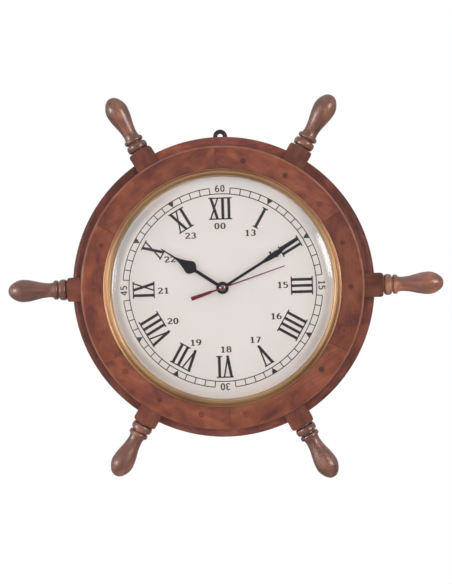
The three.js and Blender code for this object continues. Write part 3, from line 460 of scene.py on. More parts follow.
def varnished_wood(name, base, dark, light, roughness=0.4, coat=0.06, rim=0.0, relief=0.2,
                   polish=0.22, coat_ior=1.5):
    """Stained hardwood under rubbed varnish: cloudy stain, faint streaks, pores and painted shade
    in its corners.
    """
    material, add = new_material(name)
    grain = add("Attribute", out="Vector", attribute_name="grain")
    board = add("Attribute", out="Fac", attribute_name="tone")
    patterns = []
    for wide, long, settings in (
        # Clouds of stain
        (16, 26, {"Detail": 3.0, "Roughness": 0.55, "Distortion": 0.4}),
        # Growth streaks, a few centimetres long
        (2.4, 45, {"Detail": 3.0, "Roughness": 0.55, "Distortion": 0.6}),
        # Pores, drawn coarser than the real 0.2 mm, which wouldn't show
        (0.7, 7, {"Detail": 2.0}),
    ):
        scale = (1 / (long * MM), 1 / (wide * MM), 1 / (wide * MM))
        place = add("VectorMath", (grain, scale), operation="MULTIPLY")
        patterns.append(add("TexNoise", {"Vector": place, "Scale": 1.0, **settings}))
    clouds, streaks, pores = patterns
    # Painted shade: darker in the corners, where ambient occlusion finds shade; it stands also for
    # stain and dust that a rag doesn't reach
    corners = add("AmbientOcclusion", {"Distance": 5 * MM}, out="AO", samples=6)
    surface = add("ValToRGB", (clouds,), [(0.33, dark), (0.5, base), (0.68, light)])
    for pattern, start, low, end, high, share in (
        (streaks, 0.34, 0.78, 0.6, 1.06, 0.6), (pores, 0.3, 0.7, 0.42, 1.0, 0.45),
        (corners, 0.15, 0.45, 0.75, 1.0, 0.85),
    ):
        shade = add("ValToRGB", (pattern,), [(start, grey(low)), (end, grey(high))])
        surface = add("Mix", {0: share, 6: surface, 7: shade}, blend_type="MULTIPLY", **BLEND)
    surface = add("VectorMath", {0: surface, "Scale": board}, operation="SCALE")
    if rim:
        surface = rim_highlight_and_wear(add, surface, rim)
    gloss = clouds, roughness + 0.06, roughness - 0.05
    return surfaced(material, add, surface, gloss, (pores, relief, 0.06), {
        "IOR": 1.5, "Specular IOR Level": 0.35, "Coat Weight": coat, "Coat Roughness": polish,
        "Coat IOR": coat_ior,
    })


def radius_node(add):
    """Distance from the arbors, in metres, for patterns that run round them."""
    place = add("TexCoord", out="Object")
    offset = add("VectorMath", (place, HUB), operation="SUBTRACT")
    flat = add("VectorMath", (offset, (1, 0, 1)), operation="MULTIPLY")
    return add("VectorMath", (flat,), out="Value", operation="LENGTH")


def rim_highlight_and_wear(add, surface, rim):
    """Lightens the rounded rim of the front ring: a painted highlight along the rim, and stain
    rubbed thin there.
    """
    place = add("TexCoord", out="Object")
    patchy = add("TexNoise", {"Vector": place, "Scale": 1 / (18 * MM), "Detail": 2.0})
    near = add("MapRange", (radius_node(add), (rim - 2.4) * MM, (rim - 0.3) * MM, 0.0, 1.0))
    # Painted highlight: the rim is lit at its top and sides, and stays dark at its foot
    height = add("SeparateXYZ", (place,), out="Z")
    lit_height = add("MapRange", (height, HUB.z - 0.14, HUB.z - 0.06, 0.1, 1.1))
    near = add("Math", (near, lit_height), operation="MULTIPLY")
    amount = add("Math", (near, patchy), operation="MULTIPLY")
    # The pale pink of the painted highlight and of the rubbed stain
    return add("Mix", {0: amount, 6: surface, 7: linear("#C48C74")}, **BLEND)


def end_grain(name, face, base, dark):
    """Sawn ends of dowels, which drink the stain and turn dark from the middle out."""
    material, add = new_material(name)
    grain = add("Attribute", out="Vector", attribute_name="grain")
    middle = add("Attribute", out="Fac", attribute_name="tone")
    # One tone to a dowel, because the grain places of two dowels lie far apart
    cut = add("TexNoise", {"Vector": grain, "Scale": 1 / (45 * MM), "Detail": 0.0})
    pores = add("TexNoise", {"Vector": grain, "Scale": 1 / (1.2 * MM), "Detail": 2.0})
    tone = add("ValToRGB", (cut,), [(0.4, dark), (0.66, base)])
    speck = add("ValToRGB", (pores,), [(0.35, grey(0.8)), (0.6, grey(1.0))])
    ragged = add("Math", (pores, 0.5, middle), operation="MULTIPLY_ADD")
    soaked = add("MapRange", (ragged, 0.2, 0.8, 0.1, 1.0), **SMOOTH)
    stained = add("Mix", {0: soaked, 6: face, 7: tone}, **BLEND)
    surface = add("Mix", {0: 0.7, 6: stained, 7: speck}, blend_type="MULTIPLY", **BLEND)
    shader = add("BsdfPrincipled", {
        "Base Color": surface, "Roughness": 0.5, "Specular IOR Level": 0.35,
    })
    add("OutputMaterial", (shader,))
    return material


def turned_brass(name, bright, aged, roughness):
    """Spun brass, polished and lacquered: fine turning lines and a slow drift towards brown."""
    material, add = new_material(name)
    place = add("TexCoord", out="Object")
    # Turning lines drawn 0.5 mm apart, coarser than the real ones, which wouldn't show
    lines = add(
        "TexNoise", {"W": radius_node(add), "Scale": 1 / (0.5 * MM), "Detail": 2.0},
        noise_dimensions="1D",
    )
    drift = add("TexNoise", {"Vector": place, "Scale": 1 / (60 * MM), "Detail": 3.0})
    blend = add("Math", (lines, drift), operation="MULTIPLY")
    tone = add("ValToRGB", (blend,), [(0.16, aged), (0.3, bright)])
    gloss = lines, roughness + 0.1, roughness
    return surfaced(material, add, tone, gloss, (lines, 0.12, 0.05), {"Metallic": 1.0})


def clear_glass(name):
    """Pressed soda-lime glass: clear in the middle, faintly grey-blue in its steep thick edge."""
    material, add = new_material(name)
    place = add("TexCoord", out="Object")
    radius = radius_node(add)
    waves = add("TexNoise", {"Vector": place, "Scale": 1 / (34 * MM), "Detail": 2.0})
    edge = add("MapRange", (radius, 100.5 * MM, 111 * MM, 0.0, 1.0), **SMOOTH)
    tint = add("ValToRGB", (waves,), [(0.38, linear("#FAFCFE")), (0.62, linear("#FDFCFD"))])
    through = add("Mix", {0: edge, 6: grey(1.0), 7: tint}, **BLEND)
    # Painted shade: the bent edge is darkened to the left and, fainter, to the right, standing for
    # the bezel's shadow on that side
    offset = add("VectorMath", (place, HUB), operation="SUBTRACT")
    aside = add("SeparateXYZ", (offset,), out="X")
    shade = add("Math", [
        add("MapRange", (aside, start * MM, end * MM, 0.0, depth), **SMOOTH)
        for start, end, depth in ((-30, -100, 0.135), (60, 106, 0.1))
    ])
    for start, end in ((101.5, 107), (113, 109)):
        part = add("MapRange", (radius, start * MM, end * MM, 0.0, 1.0), **SMOOTH)
        shade = add("Math", (shade, part), operation="MULTIPLY")
    through = add("Mix", {0: shade, 6: through, 7: linear("#202830")}, **BLEND)
    clear = add("BsdfTransparent", (through,))
    gloss = add("BsdfGlossy", {"Color": grey(1.0), "Roughness": 0.05})
    # A face mirrors 4 per cent of the light head on and more at a glance, alike from both sides
    facing = add("LayerWeight", {"Blend": 0.5}, out="Facing")
    glance = add("Math", (facing, 5.0), operation="POWER")
    share = add("MapRange", {0: glance, 3: 0.04, 4: 1.0})
    mixed = add("MixShader", (share, clear, gloss))
    add("OutputMaterial", (mixed,))
    return material


def coated(name, base, roughness, grit=0.8, spread=0.06, metallic=0.0, depth=0.02):
    """A moulded, painted or plated surface: faint mottling and a fine unevenness of its gloss."""
    material, add = new_material(name)
    place = add("TexCoord", out="Object")
    fine = add("TexNoise", {"Vector": place, "Scale": 1 / (grit * MM), "Detail": 3.0})
    slow = add("TexNoise", {"Vector": place, "Scale": 1 / (25 * MM), "Detail": 2.0})
    low, high = (
        (*(min(1.0, c * share) for c in base[:3]), 1.0) for share in (1 - spread, 1 + spread)
    )
    tone = add("ValToRGB", (slow,), [(0.3, low), (0.7, high)])
    gloss = fine, roughness - 0.04, roughness + 0.04
    return surfaced(material, add, tone, gloss, (fine, 0.2, depth), {"Metallic": metallic})


# Operators


class ClockOperator:
    """What the clock's operators share."""

    bl_options = {"REGISTER", "UNDO"}


class CLOCK_OT_rear_ring(ClockOperator, bpy.types.Operator):
    """Make the moulded rear ring of the wheel"""

    bl_idname = "clock.rear_ring"
    bl_label = "Rear Ring"

    def execute(self, context):
        sizes, colours = in_mm(context.scene.wheel_sizes), context.scene.clock_colours
        radius, bore, step = sizes.rear_radius, sizes.rear_bore, sizes.step_height
        rounding, at = sizes.rear_rounding, sizes.step_radius
        back, front = depths("rear_ring")
        shoulder = front - step
        ease, foot = 0.6, 2.5
        profile = [(bore, back + ease), (bore + ease, back), (radius - foot - 0.1, back)]
        profile += arc(radius - foot, back + foot, foot, -90, 0, 5)
        profile += arc(radius - rounding, shoulder - rounding, rounding, 0, 90, 8)
        profile += [(at + step, shoulder), (at + 0.4, front - 0.3), (at - 0.3, front)]
        profile += [(bore + ease, front), (bore, front - ease)]
        # The wood has shrunk across the grain, so the ring is a little oval
        shrunk = Matrix.Diagonal((1.004, 0.998, 1, 1))
        mesh = finish_mesh(revolve(profile, 192, closed=True), "rear_ring", BENCH @ shrunk)

        def piece_frame(point):
            """Lays the grain along each of the ring's six pieces."""
            piece = int(direction_of(point) // TURN)
            return grain_frame(90 + (piece + 0.5) * TURN, piece)

        def piece_tone(place):
            """Fades from one piece's tone to the next about their joint."""
            at = direction_of(place) / TURN - 0.5
            share = min(1, max(0, (at % 1 - 0.4) / 0.2))
            low, high = (REAR_TONES_AND_TOP_LIGHT[int(at // 1 + k) % len(REAR_TONES_AND_TOP_LIGHT)] for k in (0, 1))
            return low + (high - low) * share

        set_grain(mesh, piece_frame, 3, piece_tone)
        # Duller and darker than the front ring: a darker stain, and painted shade where it lies
        # back behind the front ring
        wood = varnished_wood(
            "mahogany, dark stain", colours.rear, linear("#59322C"), linear("#854C3B"), 0.5, 0.03,
        )
        show("rear_ring_wood", mesh, wood, stands_for=["rear_ring"])
        # Out of sight, so left raw: dry and dark
        plain = coated("hardwood, stained and unvarnished", linear("#4E2C24"), 0.7, 1.5, 0.25)
        paint("core_ring", plain)
        return {"FINISHED"}


def felloe_mesh(sizes, index, back, front):
    """One arc of the front ring, eased at its ends, with holes for three plugs."""
    radius, bore, rounding = sizes.front_radius, sizes.front_bore, sizes.front_rounding
    ease, fillet, steps, play, deep = 0.15, 0.6, 30, 0.03, 8
    section = [(bore, back), (radius, back)]
    section += arc(radius - rounding, front - rounding, rounding, 0, 90, 6)
    section += arc(bore + fillet, front - fillet, fillet, 90, 180, 3)
    middle = index * TURN + FELLOE_SHIFT
    half = TURN / 2 - degrees(sizes.felloe_gap / 2 / radius)
    end = degrees(ease / radius)
    angles = [middle - half, middle - half + end]
    angles += [middle - half + 2 * half * k / steps for k in range(1, steps)]
    angles += [middle + half - end, middle + half]
    build = bmesh.new()
    rows = []
    for angle in angles:
        shrink = ease if angle in (angles[0], angles[-1]) else 0
        turn = radians(angle)
        row = []
        for r, depth in section:
            r += copysign(shrink, (radius + bore) / 2 - r)
            if depth > (back + front) / 2:
                depth -= shrink
            row.append(build.verts.new((r * cos(turn), r * sin(turn), depth)))
        rows.append(row)
    skin(build, rows)
    build.faces.new(rows[0])
    build.faces.new(rows[-1])
    drill = bmesh.new()
    hole, at = sizes.plug_radius + play, sizes.plug_circle
    for k in (-1, 0, 1):
        turn = radians(index * TURN + k * PLUG_STEP)
        place = Matrix.Translation((at * cos(turn), at * sin(turn), front))
        bmesh.ops.create_cone(
            drill, cap_ends=True, segments=40, radius1=hole, radius2=hole, depth=deep,
            matrix=place,
        )
    felloe, tool = (
        put(name, finish_mesh(item, name, Matrix.Identity(4)))
        for name, item in (("felloe", build), ("drill", drill))
    )
    cut = felloe.modifiers.new("drill", "BOOLEAN")
    cut.operation = "DIFFERENCE"
    cut.solver = "EXACT"
    cut.object = tool
    mesh = settled(felloe, tool)
    mesh.transform(BENCH)
    mesh.shade_smooth()
    mesh.set_sharp_from_angle(angle=radians(30))
    return mesh


class CLOCK_OT_front_ring(ClockOperator, bpy.types.Operator):
    """Make the six felloes of the front ring"""

    bl_idname = "clock.front_ring"
    bl_label = "Front Ring"

    def execute(self, context):
        sizes, colours = in_mm(context.scene.wheel_sizes), context.scene.clock_colours
        # Red-brown and cloudy, with a soft sheen and a rim lightened by a painted highlight and by
        # worn stain
        wood = varnished_wood(
            "mahogany, red-brown stain and satin varnish", colours.felloe, colours.felloe_dark,
            colours.felloe_light, rim=sizes.front_radius,
        )
        for i, tone in enumerate(FELLOE_TONES):
            node = f"front_felloe_{i + 1}"
            mesh = felloe_mesh(sizes, i, *depths(node))
            set_grain(mesh, grain_frame(90 + i * TURN + FELLOE_SHIFT, i), 5, tone)
            show(f"felloe_{i + 1}", mesh, wood, stands_for=[node])
        return {"FINISHED"}


def plug_tree(material):
    """Sets short round plugs on a circle, each with its own cut of end grain."""
    tree = bpy.data.node_groups.new("plugs on a circle", "GeometryNodeTree")
    sockets = {}
    for name, kind, value in (
        ("Plugs", "Int", 18), ("Circle radius", "Float", 130.0), ("Plug radius", "Float", 3.5),
        ("Length", "Float", PLUG_LENGTH), ("Taper", "Float", 0.1), ("Seed", "Int", 4),
    ):
        socket = tree.interface.new_socket(name, in_out="INPUT", socket_type="NodeSocket" + kind)
        socket.default_value = value
        sockets[name] = socket.identifier
    tree.interface.new_socket("Geometry", in_out="OUTPUT", socket_type="NodeSocketGeometry")
    add = partial(add_node, tree)
    given = add("NodeGroupInput", out=None).outputs
    narrow = add("Math", (given["Plug radius"], given["Taper"]), operation="SUBTRACT")
    plug = add(
        "GeometryNodeMeshCone",
        {"Vertices": 32, "Fill Segments": 3, "Radius Top": given["Plug radius"],
         "Radius Bottom": narrow, "Depth": given["Length"]}, fill_type="TRIANGLE_FAN",
    )
    circle = add(
        "GeometryNodeMeshCircle",
        {"Vertices": given["Plugs"], "Radius": given["Circle radius"]},
    )
    spin = add(
        "FunctionNodeRandomValue",
        {0: (0, 0, 0), 1: (0, 0, 2 * pi), "Seed": given["Seed"]}, data_type="FLOAT_VECTOR",
    )
    placed = add(
        "GeometryNodeInstanceOnPoints", {"Points": circle, "Instance": plug, "Rotation": spin},
    )
    real = add("GeometryNodeRealizeInstances", (placed,))
    dressed = add("GeometryNodeSetMaterial", {"Geometry": real, "Material": material})
    add("NodeGroupOutput", (dressed,))
    return tree, sockets


class CLOCK_OT_plugs(ClockOperator, bpy.types.Operator):
    """Make the wooden plugs in the face of the front ring"""

    bl_idname = "clock.plugs"
    bl_label = "Plugs"

    def execute(self, context):
        sizes, colours = context.scene.wheel_sizes, context.scene.clock_colours
        # Dark dots with a soft edge, each of another depth
        wood = end_grain(
            "mahogany, end grain", colours.felloe, linear("#763F30"), linear("#4E2F28"),
        )
        tree, sockets = plug_tree(wood)
        holder = put("plugs", bpy.data.meshes.new("plugs"))
        setter = holder.modifiers.new("plugs", "NODES")
        setter.node_group = tree
        setter[sockets["Circle radius"]] = sizes.plug_circle / MM
        setter[sockets["Plug radius"]] = sizes.plug_radius / MM
        build = bmesh.new()
        build.from_mesh(settled(holder))
        floor = depths("dowel_1")[1] - PLUG_LENGTH
        mesh = finish_mesh(build, "plugs", BENCH @ Matrix.Translation((0, 0, floor)))

        def plug_frame(point):
            """Turns the grain another way in each plug."""
            number = round(direction_of(point) / PLUG_STEP)
            return grain_frame(number * 37, number)

        def soaking(place):
            """0 at a plug's wall, and on its axis how deep it has drunk the stain."""
            number = round(direction_of(place) / PLUG_STEP)
            turn = radians(PLUG_STEP * number)
            axis = Vector((cos(turn), 0, sin(turn))) * sizes.plug_circle
            offset = place - HUB - axis
            middle = 1 - hypot(offset.x, offset.z) / sizes.plug_radius
            return middle * PLUG_DEPTHS[number % len(PLUG_DEPTHS)]

        set_grain(mesh, plug_frame, 1, soaking)
        nodes = [f"dowel_{i + 1}" for i in range(12)]
        show("plugs_end_grain", mesh, wood, stands_for=nodes)
        return {"FINISHED"}


def handle_profile(turned):
    """Radius and height of a handle, from its neck at the block to its rounded end."""
    groove, neck = turned.groove_radius, 1.4
    profile = [(0, -0.2), (7.6, -0.2), (7.6, neck)]
    for low, high, radius, swell in (
        (neck, turned.bead_end, turned.bead_radius, 2.6),
        (turned.collar_start, turned.collar_end, turned.collar_radius, 2.0),
    ):
        for k in range(13):
            turn = pi * k / 12
            out = radius - swell * (1 - sin(turn) ** 0.7)
            profile.append((out, (low + high) / 2 - (high - low) / 2 * cos(turn)))
        if low == neck:
            profile += [(groove, high + 0.1), (groove, turned.collar_start - 0.1)]
    full, bulb, at, end = turned.full_length, turned.bulb_radius, turned.bulb_at, turned.collar_end
    waist, waist_at = turned.waist_radius, turned.waist_at
    rise = bulb - waist
    swell = smooth_path([
        (turned.collar_radius - 2.0, end), (waist + 0.2, end + 2.4), (waist, waist_at),
        (waist + rise * 0.12, waist_at + 5.2), (waist + rise * 0.31, waist_at + 9.6),
        (waist + rise * 0.58, waist_at + 14.4), (waist + rise * 0.85, waist_at + 20), (bulb, at),
        (bulb * 0.955, at + 4), (bulb * 0.86, at + 7.2), (bulb * 0.7, full - 5),
        (bulb * 0.5, full - 2.2), (bulb * 0.26, full - 0.5), (0, full),
    ], 5)
    return profile + swell[1:]


class CLOCK_OT_spokes(ClockOperator, bpy.types.Operator):
    """Make the spoke blocks and the turned handles"""

    bl_idname = "clock.spokes"
    bl_label = "Spokes"

    def execute(self, context):
        sizes, colours = in_mm(context.scene.wheel_sizes), context.scene.clock_colours
        profile = handle_profile(in_mm(context.scene.handle_sizes))
        # Plain and a little duller than the felloes
        block_wood = varnished_wood(
            "mahogany block, satin varnish", linear("#6F3F32"), linear("#59322F"),
            linear("#854E3A"), 0.42, 0.06,
        )
        # Paler wood under thick gloss, which draws streaks of light along each handle
        handle_wood = varnished_wood(
            "turned hardwood, gloss varnish", colours.handle, linear("#663C31"),
            colours.handle_light, 0.45, 1.0, relief=0.04, polish=0.32, coat_ior=1.75,
        )
        back, front = depths("core_ring")
        half, inner, chamfer = sizes.block_width / 2, sizes.block_inner, sizes.block_chamfer
        for i, (block_tone, off_true, set_back, handle_tone, lean) in enumerate(SPOKE_FACTS):
            block, handle = f"spoke_block_{i + 1}", f"handle_{i + 1}"
            middle = sum(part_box(block), Vector()) / 2
            angle = round(direction_of(middle) / TURN) * TURN + off_true
            outer = sizes.block_outer - set_back
            outline = [
                (inner, -half), (outer - chamfer, -half), (outer, -half + chamfer),
                (outer, half - chamfer), (outer - chamfer, half), (inner, half),
            ]
            build = plate([outline], back, front)
            edges = [e for e in build.edges if e.calc_face_angle(0) > 0.3]
            bmesh.ops.bevel(build, geom=edges, offset=0.7, segments=3, affect="EDGES")
            turn = Matrix.Rotation(radians(angle), 4, "Z")
            mesh = finish_mesh(build, "block", BENCH @ turn)
            set_grain(mesh, grain_frame(angle, i), 7, block_tone)
            show(f"block_{i + 1}", mesh, block_wood, stands_for=[block])
            lay = (
                turn @ Matrix.Translation((outer, 0, (back + front) / 2))
                @ Matrix.Rotation(radians(lean), 4, "Z")
                @ Matrix.Rotation(radians(90), 4, "Y")
            )
            mesh = finish_mesh(revolve(profile, 56), "handle", BENCH @ lay)
            set_grain(mesh, grain_frame(angle + lean, i), 9, handle_tone)
            show(f"turned_{handle}", mesh, handle_wood, stands_for=[handle])
        return {"FINISHED"}


class CLOCK_OT_bezel(ClockOperator, bpy.types.Operator):
    """Make the spun brass bezel and the domed glass"""

    bl_idname = "clock.bezel"
    bl_label = "Bezel and Glass"

    def execute(self, context):
        colours = context.scene.clock_colours
        # Warm gold with soft bands of light round it
        brass = turned_brass("brass, spun and lacquered", colours.brass, colours.brass_aged, 0.28)
        radius = across("bezel")
        back, top = depths("bezel")
        face = depths("front_felloe_1")[1]
        bead, inner, bore, skirt = 0.8, 113.7, 114.8, 115.7
        profile = [(bore, back), (skirt, back), (skirt, face), (radius - 0.4, face)]
        profile += arc(radius - bead, face + 1.5, bead, -20, 150, 10)
        crown = radius - 2 * bead
        profile += smooth_path([
            (crown - 0.15, face + 1.75), (crown - 0.7, face + 2.1), (crown - 1.5, face + 2.9),
            (crown - 2.2, top - 0.6), (crown - 2.7, top - 0.12), (crown - 3.1, top),
            (crown - 3.6, top - 0.1), (crown - 4.3, top - 0.29), (inner + 0.45, top - 0.52),
            (inner + 0.12, top - 0.8), (inner + 0.02, top - 1.15),
        ], 5)
        profile += [(inner, top - 1.5), (inner, top - 2.6), (bore, top - 2.6)]
        mesh = finish_mesh(revolve(profile, 240, closed=True), "bezel", sharp=30)
        show("bezel_brass", mesh, brass, stands_for=["bezel"])
        # The glass rests on a thin spring ring, out of sight under the lip
        low, high = depths("glass_seat_ring")
        seat = across("glass_seat_ring")
        profile = [(seat - 0.6, low), (seat, low), (seat, high), (seat - 0.6, high)]
        mesh = finish_mesh(revolve(profile, 120, closed=True), "seat_ring")
        # Yellower than the bezel, without its lacquer
        plain = turned_brass("brass, drawn", linear("#D0A860"), linear("#A88448"), 0.35)
        show("spring_ring_brass", mesh, plain, stands_for=["glass_seat_ring"])
        rim, thick = across("glass"), 2
        low, apex = depths("glass")
        front = low + thick
        dome, rise = rim - 1, apex - front
        shares = [1 - (1 - k / 40) ** 2.2 for k in range(41)]
        # A shallow dome with a bent edge
        heights = [rise * (1 - 0.53 * s ** 2 - 0.47 * s ** 15) for s in shares]
        inside = [(dome * s * (1 - thick / dome), low + h) for s, h in zip(shares, heights)]
        outside = [(dome * s, front + h) for s, h in zip(shares, heights)][::-1]
        section = [*inside, (rim, low), (rim, front), *outside]
        mesh = finish_mesh(revolve(section, 160), "glass", sharp=50)
        glass = clear_glass("soda-lime glass")
        show("domed_glass", mesh, glass, stands_for=["glass"])
        return {"FINISHED"}


def pen_line(points, thick, thin):
    """Quadrilaterals of a pen line that is thick up and down and thin across."""
    sides = []
    for k, (x, y) in enumerate(points):
        before, after = points[max(0, k - 1)], points[min(len(points) - 1, k + 1)]
        dx, dy = after[0] - before[0], after[1] - before[1]
        size = hypot(dx, dy) or 1
        half = (thin + (thick - thin) * (abs(dy) / size) ** 1.5) / 2
        sides.append(((x - dy / size * half, y + dx / size * half),
                      (x + dy / size * half, y - dx / size * half)))
    return [[a, b, d, c] for (a, b), (c, d) in zip(sides, sides[1:])]


# Pen lines of the digits in a box 0.6 wide and 1 high
DIGITS = {
    "0": [oval(0.3, 0.5, 0.2, 0.46)],
    "1": [[(0.33, 0.02), (0.33, 0.98)], [(0.33, 0.95), (0.15, 0.8)], [(0.14, 0.03), (0.52, 0.03)]],
    "2": [oval(0.29, 0.72, 0.2, 0.24, 165, -35) + [(0.1, 0.06)], [(0.08, 0.06), (0.52, 0.06)],
          [(0.52, 0.04), (0.52, 0.2)]],
    "3": [oval(0.28, 0.75, 0.18, 0.21, 155, -90), oval(0.27, 0.29, 0.21, 0.25, 90, -155)],
    "4": [[(0.4, 0.0), (0.4, 0.98)], [(0.4, 0.96), (0.05, 0.3)], [(0.04, 0.28), (0.56, 0.28)]],
    "5": [[(0.13, 0.93), (0.48, 0.93)], [(0.14, 0.94), (0.12, 0.52)],
          oval(0.27, 0.32, 0.21, 0.28, 135, -150)],
    "6": [oval(0.3, 0.29, 0.2, 0.26), oval(0.46, 0.36, 0.36, 0.6, 95, 180)],
    "7": [[(0.08, 0.93), (0.52, 0.93)], [(0.5, 0.94), (0.22, 0.0)]],
    "8": [oval(0.3, 0.74, 0.16, 0.21), oval(0.3, 0.28, 0.2, 0.25)],
    "9": [oval(0.3, 0.71, 0.2, 0.26), oval(0.14, 0.64, 0.36, 0.6, -85, 0)],
}


def digits(text, height, centre, turn, wide, thick, thin):
    """Polygons of some digits about a point, turned anticlockwise by an angle in radians."""
    placed = []
    for k, letter in enumerate(text):
        middle = 0.66 * (k + 0.5 - len(text) / 2)
        for path in DIGITS[letter]:
            moved = [((x - 0.3 + middle) * wide, y - 0.5) for x, y in path]
            for shape in pen_line(moved, thick, thin):
                shape = [(x * height, y * height) for x, y in shape]
                placed.append([(centre[0] + x * cos(turn) - y * sin(turn),
                                centre[1] + x * sin(turn) + y * cos(turn)) for x, y in shape])
    return placed


NUMERALS = ["XII", "I", "II", "III", "IIII", "V", "VI", "VII", "VIII", "IX", "X", "XI"]
LETTER_WIDTH = {"I": 6.3, "V": 11.2, "X": 11.2}


def numeral(text, height, stem):
    """Polygons of a slab-serif Roman numeral whose feet stand on y = 0, about x = 0."""
    thin, bar = stem * 0.55, stem * 0.45
    total = sum(LETTER_WIDTH[letter] for letter in text)
    x = -total / 2
    shapes = []
    feet = []
    for letter in text:
        width = LETTER_WIDTH[letter]
        left, middle, right = x + width * 0.14, x + width / 2, x + width * 0.86
        strokes = {
            "I": [(middle, 0, middle, height, stem)],
            "V": [(middle + 0.3, 0, left + 0.4, height, stem),
                  (middle - 0.1, 0, right, height, thin),
                  (middle + 0.1, -0.4, middle + 0.1, 2.2, thin)],
            "X": [(right - 0.6, 0, left + 0.6, height, stem), (left, 0, right, height, thin)],
        }
        shapes += [slant(*stroke) for stroke in strokes[letter]]
        if letter != "V":
            feet.append(box(x, x + width, 0, bar))
        x += width
    return [*shapes, box(-total / 2, total / 2, height - bar, height), *feet]


def box(left, right, low, high):
    return [(left, low), (right, low), (right, high), (left, high)]


def slant(x0, y0, x1, y1, width):
    """A straight stroke whose ends are cut level."""
    half = width / 2
    return [(x0 - half, y0), (x0 + half, y0), (x1 + half, y1), (x1 - half, y1)]


def turned_shapes(shapes, radius, angle):
    """Shapes set with their foot at a radius, at an angle clockwise from twelve."""
    turn = -radians(angle)
    return [
        [(x * cos(turn) - (y + radius) * sin(turn),
          x * sin(turn) + (y + radius) * cos(turn)) for x, y in shape]
        for shape in shapes
    ]


def track_shapes(outer, inner, line):
    """The minute track: two circles, a tick each minute and a triangle each five minutes."""
    ring = disc(inner - line / 2, 240), disc(inner + line / 2, 240)
    shapes = [[ring[0][k - 1], ring[1][k - 1], ring[1][k], ring[0][k]] for k in range(240)]
    rims = outer - line / 2, outer + line / 2
    for minute in range(60):
        if minute % 15 not in (0, 14):
            for k in range(4):
                start = (minute + k / 4) * 6
                a, b, c, d = ((r * sin(radians(angle)), r * cos(radians(angle)))
                              for angle in (start, start + 1.5) for r in rims)
                shapes.append([a, b, d, c])
        if minute % 5:
            tick = box(-line / 2, line / 2, 0, outer - inner)
            shapes += turned_shapes([tick], inner, minute * 6)
        elif minute % 15:
            wide = (outer - inner) * 0.52
            triangle = [(0, 0.3), (wide, outer - inner), (-wide, outer - inner)]
            shapes += turned_shapes([triangle], inner, minute * 6)
    return shapes


class CLOCK_OT_dial(ClockOperator, bpy.types.Operator):
    """Make the dial and its printed numerals"""

    bl_idname = "clock.dial"
    bl_label = "Dial"

    def execute(self, context):
        sizes, colours = in_mm(context.scene.dial_sizes), context.scene.clock_colours
        back, front = depths("dial")
        radius, bore, ease, gap, film = across("dial") - 0.1, 4.4, 0.15, 0.02, 0.03
        profile = [(bore, back), (radius, back), (radius, front - ease), (radius - ease, front),
                   (bore, front)]
        mesh = finish_mesh(revolve(profile, 160, closed=True), "dial")
        # Even, matt and warm
        white = coated("aluminium sheet, white enamel", colours.dial, 0.55, 0.6, 0.012, 0.0, 0.01)
        show("dial_sheet", mesh, white, stands_for=["dial"])
        shapes = track_shapes(sizes.track_outer, sizes.track_inner, sizes.line_width)
        height = sizes.hour_outer - sizes.hour_inner
        for hour, text in enumerate(NUMERALS):
            letters = numeral(text, height, sizes.stem_width)
            shapes += turned_shapes(letters, sizes.hour_inner, hour * 30)
        # The day ring is printed a little round from the hours and a little to the right
        day_turn, day_shift, outwards = -1.1, 0.3, 2.3
        for hour in range(12):
            turn = radians(hour * 30 + day_turn)
            text = str(hour + 12) if hour else "00"
            spot = (sizes.day_aside * sin(turn) + day_shift, sizes.day_rise * cos(turn))
            shapes += digits(text, sizes.digit_height, spot, 0.0, 1.55, 0.28, 0.125)
        middle = (sizes.track_outer + sizes.track_inner) / 2 + outwards
        for quarter, text in enumerate(("60", "15", "30", "45")):
            turn = -radians(quarter * 90)
            spot = (-middle * sin(turn), middle * cos(turn))
            shapes += digits(text, sizes.minute_height, spot, turn, 1.18, 0.2, 0.15)
        build = plate(shapes, front + gap, front + gap + film)
        turn = Matrix.Rotation(context.scene.dial_sizes.print_turn, 4, "Z")
        mesh = finish_mesh(build, "print", BENCH @ turn, sharp=20)
        # A thin dark film, with less gloss than the lacquer of the hands
        ink = coated("screen-printed ink, black", colours.ink, 0.5, 0.5, 0.1, 0.0, 0.005)
        show("dial_print", mesh, ink)
        return {"FINISHED"}


def hand_outline(halves):
    """A blade along y, from pairs of distance and half width."""
    right = [(half, along) for along, half in halves]
    return right + [(-half, along) for along, half in reversed(halves)]


def drop_hand(stem_end, shoulder, taper_end, tip, stem, width):
    """A stem that swells into a drop and runs out in a needle."""
    path = smooth_path([
        (stem_end, stem), (stem_end + (shoulder - stem_end) * 0.45, stem + (width - stem) * 0.72),
        (shoulder, width), (shoulder + (taper_end - shoulder) * 0.35, width * 0.62),
        (shoulder + (taper_end - shoulder) * 0.7, width * 0.3), (taper_end, 0.95),
    ], 6)
    return hand_outline([(0, stem), *path, (tip, 0.5)])


